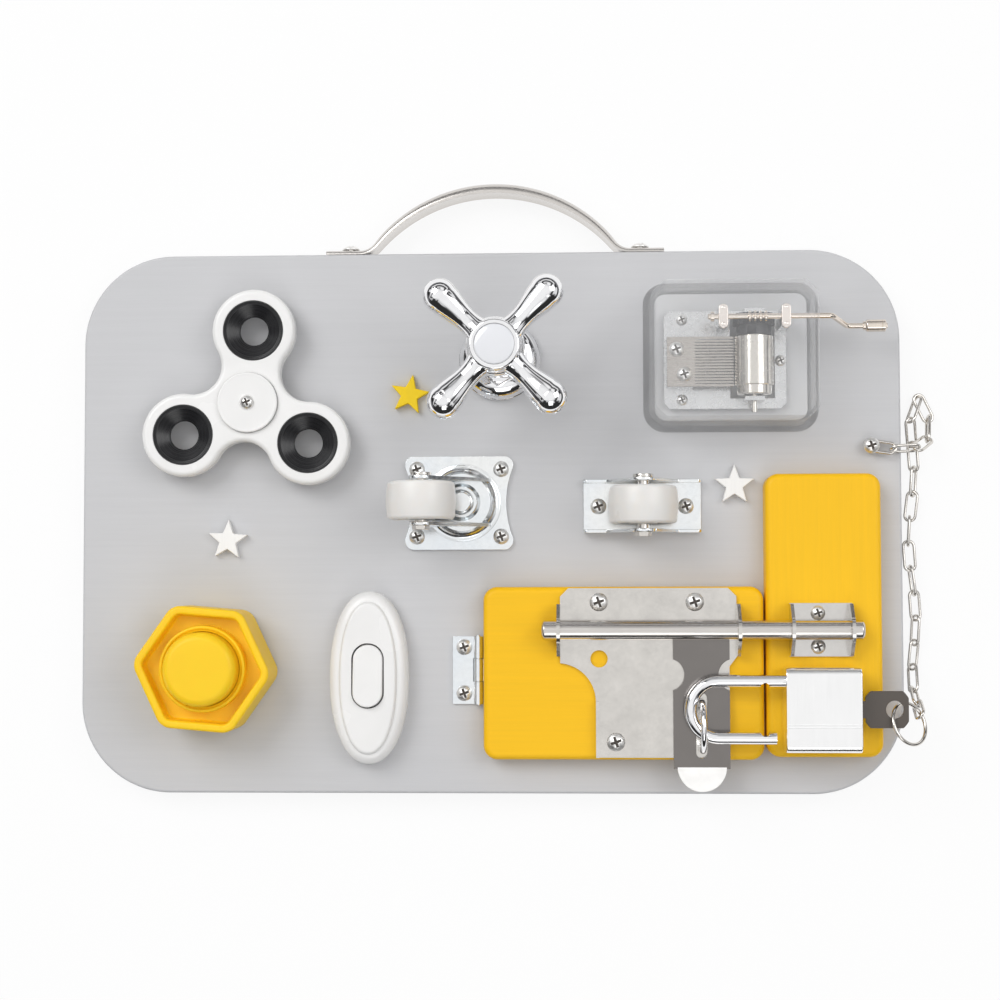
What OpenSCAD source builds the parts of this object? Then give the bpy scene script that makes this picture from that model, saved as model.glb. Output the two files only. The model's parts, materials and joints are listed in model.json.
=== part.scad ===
// Wooden busy board: a plywood panel with a carry handle and a set of latches, wheels and turning toys.
// It lies on its back. +X is the viewer's right, +Y the handle edge, +Z out of the face.
// The origin is the centre of the panel's back.

/* [Board] */
// Width of the panel
board_w = 300; // [290:1:340]
// Height of the panel
board_h = 198; // [190:1:240]
// Thickness of the plywood
board_t = 12; // [9:0.5:18]
// Radius of the panel's corners
board_r = 33; // [10:1:40]

/* [Carry handle] */
// Place of the handle's middle along the top edge
handle_x = 2.3; // [-20:0.1:20]
// Distance between the two handle screws
handle_screw_gap = 107.4; // [100:0.1:120]
// Clear width between the handle's legs
handle_clear_w = 87; // [80:0.5:92]
// Clear height under the handle's arch
handle_clear_h = 22.5; // [18:0.5:30]
// Thickness of the handle strip
handle_t = 2.4; // [1.5:0.1:3]
// Width of the handle strip
handle_w = 11; // [8:0.5:12]
// Length of each foot of the handle
foot_len = 17.6; // [14:0.1:20]

/* [Screws] */
// Head diameter of the small wood screws
wood_head_d = 5.8; // [5:0.1:6.4]
// Shank diameter of the small wood screws
wood_shank_d = 2.6; // [2:0.1:3]
// Head diameter of the latch and keeper screws
pan_head_d = 6.6; // [5.5:0.1:7]
// Shank diameter of the latch and keeper screws
pan_shank_d = 3; // [2:0.1:3.4]
// Height of a screw head
head_h = 1.8; // [1.2:0.1:2.2]
// Depth that a screw reaches into the wood
bite = 6.5; // [4:0.1:7]

/* [Stars] */
// Place of the white star by the spinner
star_left_at = [-95.7, -6.7];
// Place of the white star by the rigid caster
star_right_at = [89.4, 12.7];
// Place of the yellow star
star_mid_at = [-28.8, 46.4];
// Outer radius of a wooden star
star_r = 7.6; // [5:0.1:8]
// Thickness of a wooden star
star_t = 3; // [1.5:0.1:4]

/* [Spinner] */
// Centre of the spinner on the face
spinner_at = [-87, 43.1];
// Thickness of the spinner
spinner_t = 7; // [6:0.1:9]
// Height of the spacer under the spinner
spinner_lift = 4; // [2:0.1:8]
// Distance from the centre to a weight
lobe_at = 26.4; // [25:0.1:32]
// Radius of a lobe
lobe_r = 15.2; // [13:0.1:16]
// Least distance from the centre to the waist between two lobes
waist_at = 14.2; // [13:0.1:16]
// Diameter of a weight and of the bearing
bearing_d = 22; // [20:0.1:23]
// Bore of a weight
weight_bore_d = 10.4; // [6:0.1:12]
// Diameter of the bearing's bore
bearing_bore_d = 8; // [6:0.1:8.4]
// Diameter of a bearing ball
ball_d = 3.9; // [3:0.1:4]

/* [Tap] */
// Centre of the tap on the face
tap_at = [4.3, 59.2];
// Height of the tap over the face
tap_h = 46; // [40:0.5:60]
// Diameter of the flange
tap_flange_d = 30; // [26:0.5:36]
// Diameter of the valve body
tap_body_d = 18; // [14:0.5:20]
// Diameter of the spindle
tap_spindle_d = 6; // [4:0.1:8]
// Distance from the axis to the middle of a ball end
tap_arm_reach = 26.1; // [25:0.1:32]
// Diameter of a ball end
tap_ball_d = 12.3; // [10:0.1:13]
// Diameter of the hub's top
tap_hub_d = 17.8; // [16:0.1:20]
// Diameter of the index button
tap_button_d = 14.2; // [10:0.1:15]

/* [Music box] */
// Centre of the music box on the face
music_at = [88.5, 59.5];
// Width of the case's foot
case_w = 63.6; // [61:0.1:70]
// Height of the case's foot on the face
case_l = 54.6; // [52:0.1:62]
// How high the case stands over the face
case_h = 25.6; // [25.5:0.1:30]
// Wall of the clear case
case_wall = 1.6; // [1.2:0.1:2]
// Cylinder diameter
drum_d = 13.8; // [12:0.1:14]
// Cylinder length
drum_l = 17.6; // [14:0.1:18]
// Crank shaft diameter
crank_d = 2; // [1.4:0.1:2.2]
// Throw of the crank
crank_throw = 8; // [5:0.1:10]

/* [Swivel caster] */
// Centre of the caster's plate on the face
caster_at = [-10.7, 6.7];
// Width of the plate
caster_plate_w = 39.6; // [38:0.1:46]
// Height of the plate
caster_plate_l = 34.2; // [33:0.1:40]
// Hole spacing across the plate
caster_holes_w = 30.8; // [30:0.1:34]
// Hole spacing along the plate
caster_holes_l = 24.6; // [24:0.1:27]
// Distance from the swivel axis to the axle
caster_trail = 13.4; // [12:0.1:15]
// Diameter of both wheels
wheel_d = 25; // [22:0.1:26]
// Width of both wheels
wheel_w = 13.6; // [10:0.1:14]
// Diameter of both axles
axle_d = 4; // [3:0.1:5]
// Height of the swivel wheel's axle over the face
caster_axle_h = 22; // [21:0.1:28]

/* [Fixed caster] */
// Centre of the bracket on the face
bracket_at = [56, 5.2];
// Length of the bracket
bracket_l = 42.8; // [40:0.1:50]
// Width of the bracket
bracket_w = 19.4; // [19:0.1:24]
// Hole spacing of the bracket
bracket_holes = 31.8; // [31:0.1:33]
// Height of the fixed wheel's axle over the face
bracket_axle_h = 15; // [14.5:0.1:20]

/* [Nut and bolt] */
// Centre of the nut on the face
nut_at = [-101.5, -53];
// Width of the nut across its flats
nut_flats = 43.6; // [42:0.1:50]
// Height of the nut
nut_h = 21; // [14:0.1:24]
// Diameter of the collar inside the nut's rim
nut_collar_d = 31; // [30.5:0.1:34]
// Diameter of the toy bolt
toy_bolt_d = 26.6; // [22:0.1:27]
// Height of the toy bolt over the face
toy_bolt_h = 27; // [24:0.1:34]

/* [Switch] */
// Centre of the switch on the face
switch_at = [-43.3, -56.7];
// Width of the switch
switch_w = 29; // [27:0.1:34]
// Length of the switch
switch_l = 62.6; // [60:0.1:70]
// Height of the switch's cover
switch_h = 10; // [9:0.1:14]
// Width of the rocker
rocker_w = 11; // [9:0.1:12]
// Length of the rocker
rocker_l = 23.4; // [20:0.1:25]
// Angle of the rocker's throw
rocker_throw = 12; // [8:0.5:14]

/* [Door and block] */
// Gap between the block and the panel's right edge
block_margin = 8.8; // [7:0.1:12]
// Gap between the block and the panel's bottom edge
block_foot = 14; // [12:0.1:18]
// Width of the fixed block
block_w = 41.4; // [38:0.1:44]
// Length of the fixed block
block_l = 101.5; // [90:0.1:110]
// Width of the door
door_w = 100.6; // [98:0.1:104]
// Height of the door
door_l = 62; // [60:0.1:66]
// How far the tops of the door and block stand over the face
door_top = 9; // [8:0.1:14]
// Gap between the door and the block
door_gap = 0.8; // [0.5:0.1:2]
// Radius of the door's and block's corners
door_r = 5; // [4.5:0.1:8]
// Diameter of the hinge's knuckle
knuckle_d = 3.4; // [3:0.1:3.6]
// Height of the hinge
hinge_l = 24.6; // [20:0.1:30]

/* [Latch] */
// Distance from the door's top edge to the rod's axis
rod_drop = 15.5; // [14.5:0.1:17]
// Diameter of the rod
rod_d = 7; // [5:0.1:7.2]
// Length of the rod
rod_l = 114.3; // [112:0.1:120]
// Thickness of the latch's sheet metal
sheet_t = 1.2; // [0.8:0.1:1.4]
// Wire diameter of the staple
staple_wire_d = 2.2; // [1.6:0.1:2.4]

/* [Padlock] */
// Distance from the panel's bottom edge to the padlock's axis
lock_up = 31.6; // [30:0.1:33]
// Gap between the padlock's left side and the block's left side
lock_in = 5.3; // [4:0.1:8]
// Length of the lock body
lock_l = 26.4; // [24:0.1:28]
// Width of the lock body
lock_w = 29.6; // [28:0.1:32]
// Thickness of the lock body
lock_t = 15; // [12:0.1:16]
// Wire diameter of the shackle
shackle_d = 4.5; // [3.6:0.1:4.8]
// Distance between the shackle's legs
shackle_gap = 20; // [19:0.1:21]
// Thickness of the key
key_t = 1.6; // [1.2:0.1:2]

/* [Chain] */
// Distance from the chain screw to the panel's right edge
chain_screw_in = 11.2; // [10.5:0.1:12]
// Height of the chain screw on the face
chain_screw_y = 26.8; // [20:0.1:32]
// Wire diameter of a chain link
link_wire_d = 1.1; // [0.8:0.1:1.2]
// Length of a chain link
link_l = 12; // [11.6:0.1:12.6]
// Width of a chain link
link_w = 5; // [4.6:0.1:5.4]

/* [Hidden] */
$fn = 48;
hull_fn = 32;
run_fit = 0.06;
gap = 0.3;
hole_fit = 0.05;

// Colours
grey_wood = "#c9cbcf";
yellow_wood = "#f7b71e";
steel = "#b9bbbe";
zinc = "#c3ccd3";
chrome_metal = "#d5d8dc";
white_plastic = "#f4f4f2";
black_steel = "#26282b";

// Heights and lines of the door, the block and the lock
face = board_t;
right_edge = board_w / 2;
foot_edge = -board_h / 2;
block_x1 = right_edge - block_margin;
block_x0 = block_x1 - block_w;
block_y0 = foot_edge + block_foot;
door_x1 = block_x0 - door_gap;
door_x0 = door_x1 - door_w;
door_y0 = block_y0 - 1;
door_y1 = door_y0 + door_l;
hinge_sheet_t = 1;
door_under = hinge_sheet_t + 0.4;
pin_x = door_x0 - 2.1;
pin_h = knuckle_d / 2 + 0.1;
rod_y = door_y1 - rod_drop;
plate_top = door_top + sheet_t;
rod_h = plate_top + rod_d / 2 + 1;
rod_x1 = block_x1 - 7.4;
rod_x0 = rod_x1 - rod_l;
lock_y = foot_edge + lock_up;
lock_x0 = block_x0 + lock_in;
lock_x1 = lock_x0 + lock_l;
lock_h = door_top + gap + lock_t / 2;
bend_r = shackle_gap / 2;
bend_x = lock_x0 - 23;
staple_x = bend_x - 5.7;
staple_y = lock_y - 6.1;
staple_r = 8.5;
hole_x = lock_x1 + 12.2;

// ---------- Shared shapes ----------

module rounded_rect(w, l, r) {
    square([w - 2 * r, l], center = true);
    square([w, l - 2 * r], center = true);
    for (sx = [-1, 1], sy = [-1, 1])
        translate([sx * (w / 2 - r), sy * (l / 2 - r)]) circle(r);
}

// A flat slab whose upper edge is rounded to radius e.
module soft_slab(w, l, t, r, e) {
    hull() {
        for (sx = [-1, 1], sy = [-1, 1])
            translate([sx * (w / 2 - r), sy * (l / 2 - r), 0]) {
                cylinder(h = t - e, r = r, $fn = hull_fn);
                cylinder(h = t - 0.3 * e, r = r - 0.3 * e, $fn = hull_fn);
                cylinder(h = t, r = r - e, $fn = hull_fn);
            }
    }
}

module tube(h, r_out, r_in) {
    difference() {
        cylinder(h = h, r = r_out);
        translate([0, 0, -1]) cylinder(h = h + 2, r = r_in);
    }
}

// A domed head with a crossed recess, seated at z = 0, and a shank below it.
module screw(head_d, shank_d, depth) {
    dome_r = (pow(head_d / 2, 2) + pow(head_h, 2)) / (2 * head_h) + 0.4;
    difference() {
        intersection() {
            cylinder(h = head_h, d = head_d);
            translate([0, 0, head_h - dome_r]) sphere(dome_r);
        }
        for (turn = [20, 110]) rotate(turn)
            translate([-head_d * 0.3, -head_d * 0.07, head_h * 0.45])
                cube([head_d * 0.6, head_d * 0.14, head_h]);
    }
    translate([0, 0, -depth]) cylinder(h = depth + hole_fit, d = shank_d);
}

module at_face(p, h = 0) {
    translate([p[0], p[1], face + h]) children();
}

// A stadium-shaped ring of round wire, lying along X in the XY plane.
module wire_link(l, w, wire_d) {
    bow_r = (w - wire_d) / 2;
    straight = l - w;
    for (s = [-1, 1]) {
        translate([-straight / 2, s * bow_r, 0]) rotate([0, 90, 0]) cylinder(h = straight, d = wire_d);
        translate([s * straight / 2, 0, 0]) rotate(-s * 90)
            rotate_extrude(angle = 180) translate([bow_r, 0]) circle(d = wire_d);
    }
}

// ---------- Screw places ----------

function caster_holes() = [for (sx = [-1, 1], sy = [-1, 1])
    caster_at + [sx * caster_holes_w / 2, sy * caster_holes_l / 2]];
function bracket_hole_places() = [for (s = [-1, 1]) bracket_at + [s * bracket_holes / 2, 0]];
hinge_screw_x = pin_x - 5.2;
hinge_y = (door_y0 + door_y1) / 2 + 0.8;
function hinge_hole_places() = [for (s = [-1, 1])
    [hinge_screw_x, hinge_y + s * hinge_l * 0.34]];
chain_screw = [right_edge - chain_screw_in, chain_screw_y];
chain_screw_h = 2 * link_wire_d + 3 * gap;
chain_shank_d = link_w - 2 * link_wire_d - 2 * gap;
edge_bite = 10;
keeper_x = block_x0 + 19.2;
keeper_w = 22.2;
keeper_l = 19;
keeper_screw_drop = 6;
function keeper_hole_places() = [for (s = [-1, 1]) [keeper_x - 1, rod_y + s * keeper_screw_drop]];
latch_x0 = door_x0 + 27.7;
latch_x1 = latch_x0 + 63;
latch_foot_x0 = latch_x0 + 12.7;
latch_holes = [
    [latch_x0 + 13.9, door_y1 - 5.5],
    [latch_x0 + 48.2, door_y1 - 5.5],
    [latch_x0 + 19.8, door_y0 + 6.6]];

// ---------- Board, handle and stars ----------

module board_panel() {
    color(grey_wood) difference() {
        linear_extrude(board_t) rounded_rect(board_w, board_h, board_r);
        for (p = concat(caster_holes(), bracket_hole_places(), hinge_hole_places()))
            translate([p[0], p[1], face - bite - gap])
                cylinder(h = bite + 1, d = wood_shank_d + 2 * hole_fit);
        translate([chain_screw[0], chain_screw[1], face - bite - gap])
            cylinder(h = bite + 1, d = chain_shank_d + 2 * hole_fit);
        for (s = [-1, 1])
            translate([handle_x + s * handle_screw_gap / 2, board_h / 2 - edge_bite, board_t / 2])
                rotate([-90, 0, 0]) cylinder(h = edge_bite + 1, d = pan_shank_d + 2 * hole_fit);
        translate([spinner_at[0], spinner_at[1], face - bite - gap])
            cylinder(h = bite + 1, d = pan_shank_d + 2 * hole_fit);
    }
}

handle_arc_r = (pow(handle_clear_w / 2, 2) + pow(handle_clear_h, 2)) / (2 * handle_clear_h);

module handle_side(thickness) {
    arc_drop = handle_clear_h - handle_arc_r;
    intersection() {
        translate([0, arc_drop]) difference() {
            circle(handle_arc_r + thickness, $fn = 160);
            circle(handle_arc_r, $fn = 160);
        }
        translate([-handle_clear_w, 0]) square([2 * handle_clear_w, handle_clear_w]);
    }
}

module carry_handle() {
    screw_x = handle_screw_gap / 2;
    foot_in = (handle_clear_w + handle_t) / 2;
    foot_out = (handle_screw_gap + foot_len) / 2;
    rib_w = handle_w * 0.6;
    rib_rise = 1.8;
    color(steel) translate([handle_x, board_h / 2, board_t / 2]) difference() {
        union() {
            linear_extrude(handle_w, center = true) handle_side(handle_t);
            for (s = [-1, 1])
                translate([s * (foot_in + foot_out) / 2, handle_t / 2, 0])
                    cube([foot_out - foot_in, handle_t, handle_w], center = true);
            linear_extrude(rib_w, center = true) handle_side(handle_t + rib_rise);
        }
        for (s = [-1, 1])
            translate([s * screw_x, -1, 0]) rotate([-90, 0, 0])
                cylinder(h = handle_t + 2, d = pan_shank_d + 2 * hole_fit);
        linear_extrude(rib_w * 0.8, center = true) handle_side(1);
    }
}

module handle_screws() {
    color(steel)
        for (s = [-1, 1])
            translate([handle_x + s * handle_screw_gap / 2, board_h / 2 + handle_t, board_t / 2])
                rotate([-90, 0, 0]) screw(pan_head_d, pan_shank_d, edge_bite);
}

module star(turn) {
    inner_r = star_r * 0.42;
    linear_extrude(star_t)
        polygon([for (i = [0:9])
            let (r = i % 2 == 0 ? star_r : inner_r, a = 90 + 36 * i - turn)
            [r * cos(a), r * sin(a)]]);
}

module stars_white() {
    color(white_plastic) {
        at_face(star_left_at) star(3);
        at_face(star_right_at) star(0);
    }
}

module star_yellow() {
    color(yellow_wood) at_face(star_mid_at) star(10);
}

module wood_screws() {
    color(zinc) {
        for (p = caster_holes()) at_face(p, caster_sheet_t) screw(wood_head_d, wood_shank_d, bite);
        for (p = bracket_hole_places()) at_face(p, sheet_t) screw(wood_head_d, wood_shank_d, bite);
        for (p = hinge_hole_places()) at_face(p, hinge_sheet_t) screw(wood_head_d, wood_shank_d, bite);
        at_face(chain_screw, chain_screw_h) screw(wood_head_d, chain_shank_d, bite);
    }
}

// ---------- Spinner ----------

bearing_wall = 1.8;
ball_ring_r = (bearing_d / 2 - bearing_wall + bearing_bore_d / 2 + bearing_wall) / 2;
groove_r = ball_d / 2 + hole_fit;
spinner_turn = 86;

module ball_groove() {
    translate([0, 0, spinner_t / 2]) rotate_extrude() translate([ball_ring_r, 0]) circle(groove_r);
}

module spinner_spacer() {
    color(white_plastic) at_face(spinner_at)
        tube(spinner_lift, bearing_bore_d / 2 + bearing_wall, pan_shank_d / 2 + hole_fit);
}

module spinner_bearing_inner() {
    color(steel) at_face(spinner_at, spinner_lift) difference() {
        tube(spinner_t, bearing_bore_d / 2 + bearing_wall, bearing_bore_d / 2);
        ball_groove();
    }
}

module spinner_bearing_outer() {
    color(steel) at_face(spinner_at, spinner_lift) difference() {
        tube(spinner_t, bearing_d / 2, bearing_d / 2 - bearing_wall);
        ball_groove();
    }
}

module spinner_balls() {
    color(chrome_metal) at_face(spinner_at, spinner_lift + spinner_t / 2)
        for (i = [0:6]) rotate(i * 360 / 7) translate([ball_ring_r, 0, 0]) sphere(ball_d / 2);
}

// Outline with three lobes whose waists are arcs tangent to the lobes on both sides.
module spinner_outline() {
    along = lobe_at * cos(60);
    across = lobe_at * sin(60);
    reach = waist_at - along;
    neck_r = (reach * reach + across * across - lobe_r * lobe_r) / (2 * (lobe_r - reach));
    neck_at = waist_at + neck_r;
    touch = lobe_r / (lobe_r + neck_r);
    touch_x = along + touch * (neck_at - along);
    touch_y = across * (1 - touch);
    difference() {
        union() {
            for (i = [0:2]) rotate(i * 120) {
                translate([lobe_at, 0]) circle(lobe_r);
                rotate(60) polygon([[0, 0], [along, -across], [touch_x, -touch_y],
                    [touch_x, touch_y], [along, across]]);
            }
        }
        for (i = [0:2]) rotate(60 + i * 120) translate([neck_at, 0]) circle(neck_r + hole_fit);
    }
}

module spinner_body() {
    color(white_plastic) at_face(spinner_at, spinner_lift) rotate(spinner_turn) difference() {
        linear_extrude(spinner_t) spinner_outline();
        translate([0, 0, -1]) cylinder(h = spinner_t + 2, d = bearing_d);
        for (i = [0:2]) rotate(i * 120) translate([lobe_at, 0, -1])
            cylinder(h = spinner_t + 2, d = bearing_d);
    }
}

module spinner_weights() {
    mid = spinner_t / 2;
    lip = 1.2;
    color(black_steel) at_face(spinner_at, spinner_lift) rotate(spinner_turn)
        for (i = [0:2]) rotate(i * 120) translate([lobe_at, 0, 0])
            rotate_extrude() polygon([
                [bearing_d / 2, 0], [bearing_d / 2, spinner_t], [bearing_d / 2 - lip, spinner_t],
                [weight_bore_d / 2, mid + 1], [weight_bore_d / 2, mid - 1],
                [bearing_d / 2 - lip, 0]]);
}

module spinner_cap() {
    rim_h = 1.3;
    color(white_plastic) at_face(spinner_at, spinner_lift) difference() {
        union() {
            cylinder(h = spinner_t + gap, r = bearing_bore_d / 2 - hole_fit);
            translate([0, 0, spinner_t]) cylinder(h = gap, r = bearing_bore_d / 2 + bearing_wall);
            translate([0, 0, spinner_t + gap])
                cylinder(h = rim_h, r1 = bearing_d / 2, r2 = bearing_d / 2 - 0.5);
        }
        translate([0, 0, -1]) cylinder(h = spinner_t + 4, d = pan_shank_d + 2 * hole_fit);
    }
}

module spinner_screw() {
    top = spinner_lift + spinner_t + gap + 1.3;
    color(steel) at_face(spinner_at, top) screw(5, pan_shank_d, top + bite);
}

// ---------- Tap ----------

hub_low = 0.66 * tap_h;
arm_h = 0.84 * tap_h;

module tap_flange() {
    r = tap_flange_d / 2;
    color(chrome_metal) at_face(tap_at) rotate_extrude()
        polygon(concat([[tap_body_d / 2, 0], [r, 0], [r, 1]],
            [for (a = [10:16:90]) [tap_body_d / 2 + (r - tap_body_d / 2) * cos(a), 1 + 6 * sin(a)]]));
}

module tap_body() {
    r = tap_body_d / 2;
    nut_at_h = 9;
    color(chrome_metal) at_face(tap_at) difference() {
        union() {
            cylinder(h = hub_low - 4, r = r);
            translate([0, 0, nut_at_h]) cylinder(h = 6, r = r + 2, $fn = 6);
            cylinder(h = hub_low, r = r - 2);
        }
        translate([0, 0, 2]) cylinder(h = tap_h, d = tap_spindle_d + 2 * run_fit);
    }
}

module tap_spindle() {
    color(chrome_metal) at_face(tap_at, 4) cylinder(h = tap_h - 8, d = tap_spindle_d);
}

// One spoke of the cross handle, lying along +X from the axis.
module tap_spoke() {
    ball_r = tap_ball_d / 2;
    root_r = ball_r * 0.82;
    waist_r = ball_r * 0.66;
    bead_at = tap_hub_d / 2 + 3.4;
    taper = 1.6;
    rotate([0, 90, 0]) rotate_extrude() polygon(concat(
        [[0, 0], [root_r, 0], [root_r, tap_hub_d / 2], [waist_r, tap_hub_d / 2 + 2],
         [waist_r, bead_at - 1], [waist_r + 1, bead_at], [waist_r, bead_at + 1]],
        [for (a = [-70:20:90])
            [a < 0 ? ball_r * (0.62 + 0.38 * cos(a)) : ball_r * cos(a),
             a < 0 ? tap_arm_reach + taper * ball_r * sin(a) : tap_arm_reach + ball_r * sin(a)]]));
}

module tap_handle() {
    hub_r = tap_hub_d / 2;
    color(chrome_metal) at_face(tap_at) difference() {
        union() {
            rotate_extrude() polygon([
                [0, hub_low + gap], [hub_r - 1.2, hub_low + gap], [hub_r + 1.6, hub_low + 3],
                [hub_r + 1.6, arm_h + 1], [hub_r + 0.8, arm_h + 3.5], [hub_r, tap_h - 3],
                    [hub_r, tap_h - 0.5],
                [hub_r - 0.5, tap_h], [0, tap_h]]);
            for (i = [0:3]) translate([0, 0, arm_h]) rotate(47 + i * 90) tap_spoke();
        }
        translate([0, 0, hub_low - 1]) cylinder(h = tap_h - 3 - hub_low, d = tap_spindle_d);
        translate([0, 0, tap_h - 1.2]) cylinder(h = 3, d = tap_button_d);
    }
}

module tap_button() {
    dome_r = 40;
    color(white_plastic) at_face(tap_at, tap_h - 1.2) intersection() {
        cylinder(h = 3, d = tap_button_d);
        translate([0, 0, 2.2 - dome_r]) sphere(dome_r, $fn = 96);
    }
}

// ---------- Music box ----------

base_t = 2;
cover_w = case_w - 4;
cover_l = case_l - 4;
cover_cut = 4.5;
bed_h = 4;
bed_t = 1.6;
bed_w = 44;
bed_l = 35.6;
bed_at = music_at + [-2.4, -1.5];
drum_x = music_at[0] + 7.5;
drum_y = music_at[1] - 2.8;
drum_h = 11.6;
gear_r = drum_d / 2 + 0.6;
worm_r = crank_d / 2 + 1;
crank_h = drum_h + gear_r + worm_r + 0.15;
gear_t = 4;
lug_w = 7;
lug_t = 1.5;
gear_y0 = drum_y + drum_l / 2 + 4;
crank_y = gear_y0 + gear_t / 2;
lug_y0 = drum_y - drum_l / 2 - 5.5;
lug_y1 = gear_y0 + gear_t + 0.5;
window_w = 2 * gear_r + 1;
arbor_d = 2;
clip_xs = [music_at[0] - 4.1, music_at[0] + 18];
comb_h = drum_h - 1;
post_holes = [[bed_at[0] - 15.6, bed_at[1] + 14.6], [bed_at[0] + 20, bed_at[1] - 0.5],
    [bed_at[0] - 15.6, bed_at[1] - 14.6]];

// A rounded rectangle with the four corners cut off at 45 degrees.
module cut_rect(w, l, c) {
    polygon([[w / 2 - c, -l / 2], [w / 2, -l / 2 + c], [w / 2, l / 2 - c], [w / 2 - c, l / 2],
        [-w / 2 + c, l / 2], [-w / 2, l / 2 - c], [-w / 2, -l / 2 + c], [-w / 2 + c, -l / 2]]);
}

module music_base() {
    color("#e9edf2", 0.5) at_face(music_at) {
        linear_extrude(base_t) rounded_rect(case_w, case_l, 8);
        for (p = post_holes) translate([p[0] - music_at[0], p[1] - music_at[1], base_t - hole_fit])
            tube(bed_h - base_t + hole_fit, 2.2, 0.8);
    }
}

module music_cover() {
    inside_h = case_h - case_wall;
    color("#e9edf2", 0.35) at_face(music_at) difference() {
        translate([0, 0, base_t]) linear_extrude(case_h - base_t) cut_rect(cover_w, cover_l, cover_cut);
        translate([0, 0, base_t - 1]) linear_extrude(inside_h - base_t + 1)
            cut_rect(cover_w - 2 * case_wall, cover_l - 2 * case_wall, cover_cut - 0.6);
        translate([0, crank_y - music_at[1], crank_h]) rotate([0, 90, 0])
            cylinder(h = case_w, d = crank_d + 2 * gap);
    }
}

module music_bedplate() {
    color(zinc) at_face([0, 0], bed_h) difference() {
        union() {
            translate([bed_at[0], bed_at[1], 0]) linear_extrude(bed_t) cut_rect(bed_w, bed_l, 2);
            translate([bed_at[0] - bed_w / 2 + 0.8, drum_y - 9, 0]) cube([9.4, 18, comb_h - bed_h]);
            for (x = clip_xs) translate([x - 1.7, crank_y - 3.4, 0])
                cube([3.4, 6.8, crank_h - bed_h]);
            translate([drum_x - lug_w / 2, lug_y0, 0]) cube([lug_w, lug_t, drum_h - bed_h + 3]);
            translate([drum_x - lug_w / 2, lug_y1, 0]) cube([lug_w, lug_t, drum_h - bed_h + 3]);
        }
        translate([drum_x - window_w / 2, lug_y0 + lug_t, -1])
            cube([window_w, lug_y1 - lug_y0 - lug_t, bed_t + 2]);
        for (p = post_holes) translate([p[0], p[1], -1]) cylinder(h = bed_t + 2, d = 1.9);
        for (p = comb_screw_places) translate([p[0], p[1], comb_h - bed_h - 2.5])
            cylinder(h = 4, d = 2.1);
        translate([drum_x, drum_y, drum_h - bed_h]) rotate([90, 0, 0])
            cylinder(h = case_l, d = arbor_d + 2 * run_fit, center = true);
        translate([drum_x, crank_y, crank_h - bed_h]) rotate([0, 90, 0])
            cylinder(h = case_w, d = crank_d + 2 * run_fit, center = true);
    }
}

comb_x0 = bed_at[0] - bed_w / 2 + 0.8;
comb_x1 = drum_x - drum_d / 2 - gap;
comb_l = 18;
comb_screw_places = [[comb_x0 + 3.4, drum_y + 4.5], [comb_x0 + 6.2, drum_y - 4.5]];

module music_comb() {
    teeth = 17;
    pitch = comb_l / teeth;
    color(steel) at_face([0, 0], comb_h) difference() {
        translate([comb_x0, drum_y - comb_l / 2, 0]) cube([comb_x1 - comb_x0, comb_l, 1]);
        for (i = [1:teeth - 1])
            translate([comb_x0 + 10, drum_y - comb_l / 2 + i * pitch - 0.15, -1]) cube([40, 0.3, 3]);
        for (p = comb_screw_places) translate([p[0], p[1], -1]) cylinder(h = 3, d = 2.1);
    }
}

module music_comb_screws() {
    color(zinc) for (p = comb_screw_places) at_face(p, comb_h + 1) screw(5.4, 2, 3);
}

module music_plate_screws() {
    color(zinc) for (p = post_holes) at_face(p, bed_h + bed_t) screw(4, 1.5, bed_t + 1.5);
}

module music_clips() {
    color(steel) for (x = clip_xs) at_face([x, crank_y], crank_h) difference() {
        translate([-1.7, -4.4, 0]) cube([3.4, 8.8, crank_d / 2 + 0.9]);
        rotate([0, 90, 0]) cylinder(h = 10, d = crank_d + 2 * run_fit, center = true);
    }
}

module music_drum() {
    collar_l = 3.4;
    color(steel) at_face([drum_x, drum_y], drum_h) {
        rotate([-90, 0, 0]) cylinder(h = drum_l, d = drum_d, center = true);
        rotate([-90, 0, 0]) cylinder(h = drum_l + 19, d = arbor_d, center = true);
        translate([0, -drum_l / 2 - collar_l, 0]) rotate([-90, 0, 0])
            cylinder(h = collar_l + hole_fit, d = drum_d - 1.4);
    }
}

module music_gear() {
    teeth = 28;
    color(black_steel) at_face([drum_x, 0], drum_h) {
        translate([0, gear_y0 + gear_t, 0]) rotate([90, 0, 0]) linear_extrude(gear_t) difference() {
            circle(gear_r);
            circle(d = arbor_d);
            for (i = [0:teeth - 1]) rotate(i * 360 / teeth) translate([gear_r, 0])
                circle(0.42, $fn = 8);
        }
        translate([0, gear_y0, 0]) rotate([90, 0, 0]) linear_extrude(3.6) difference() {
            circle(drum_d / 2 - 0.6);
            circle(d = arbor_d);
        }
    }
}

shaft_x0 = clip_xs[0] - 5.5;
shaft_x1 = music_at[0] + case_w / 2 + 1.5;

crank_run = 6;
crank_side = 2.6;
crank_pin_l = 15;

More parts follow.
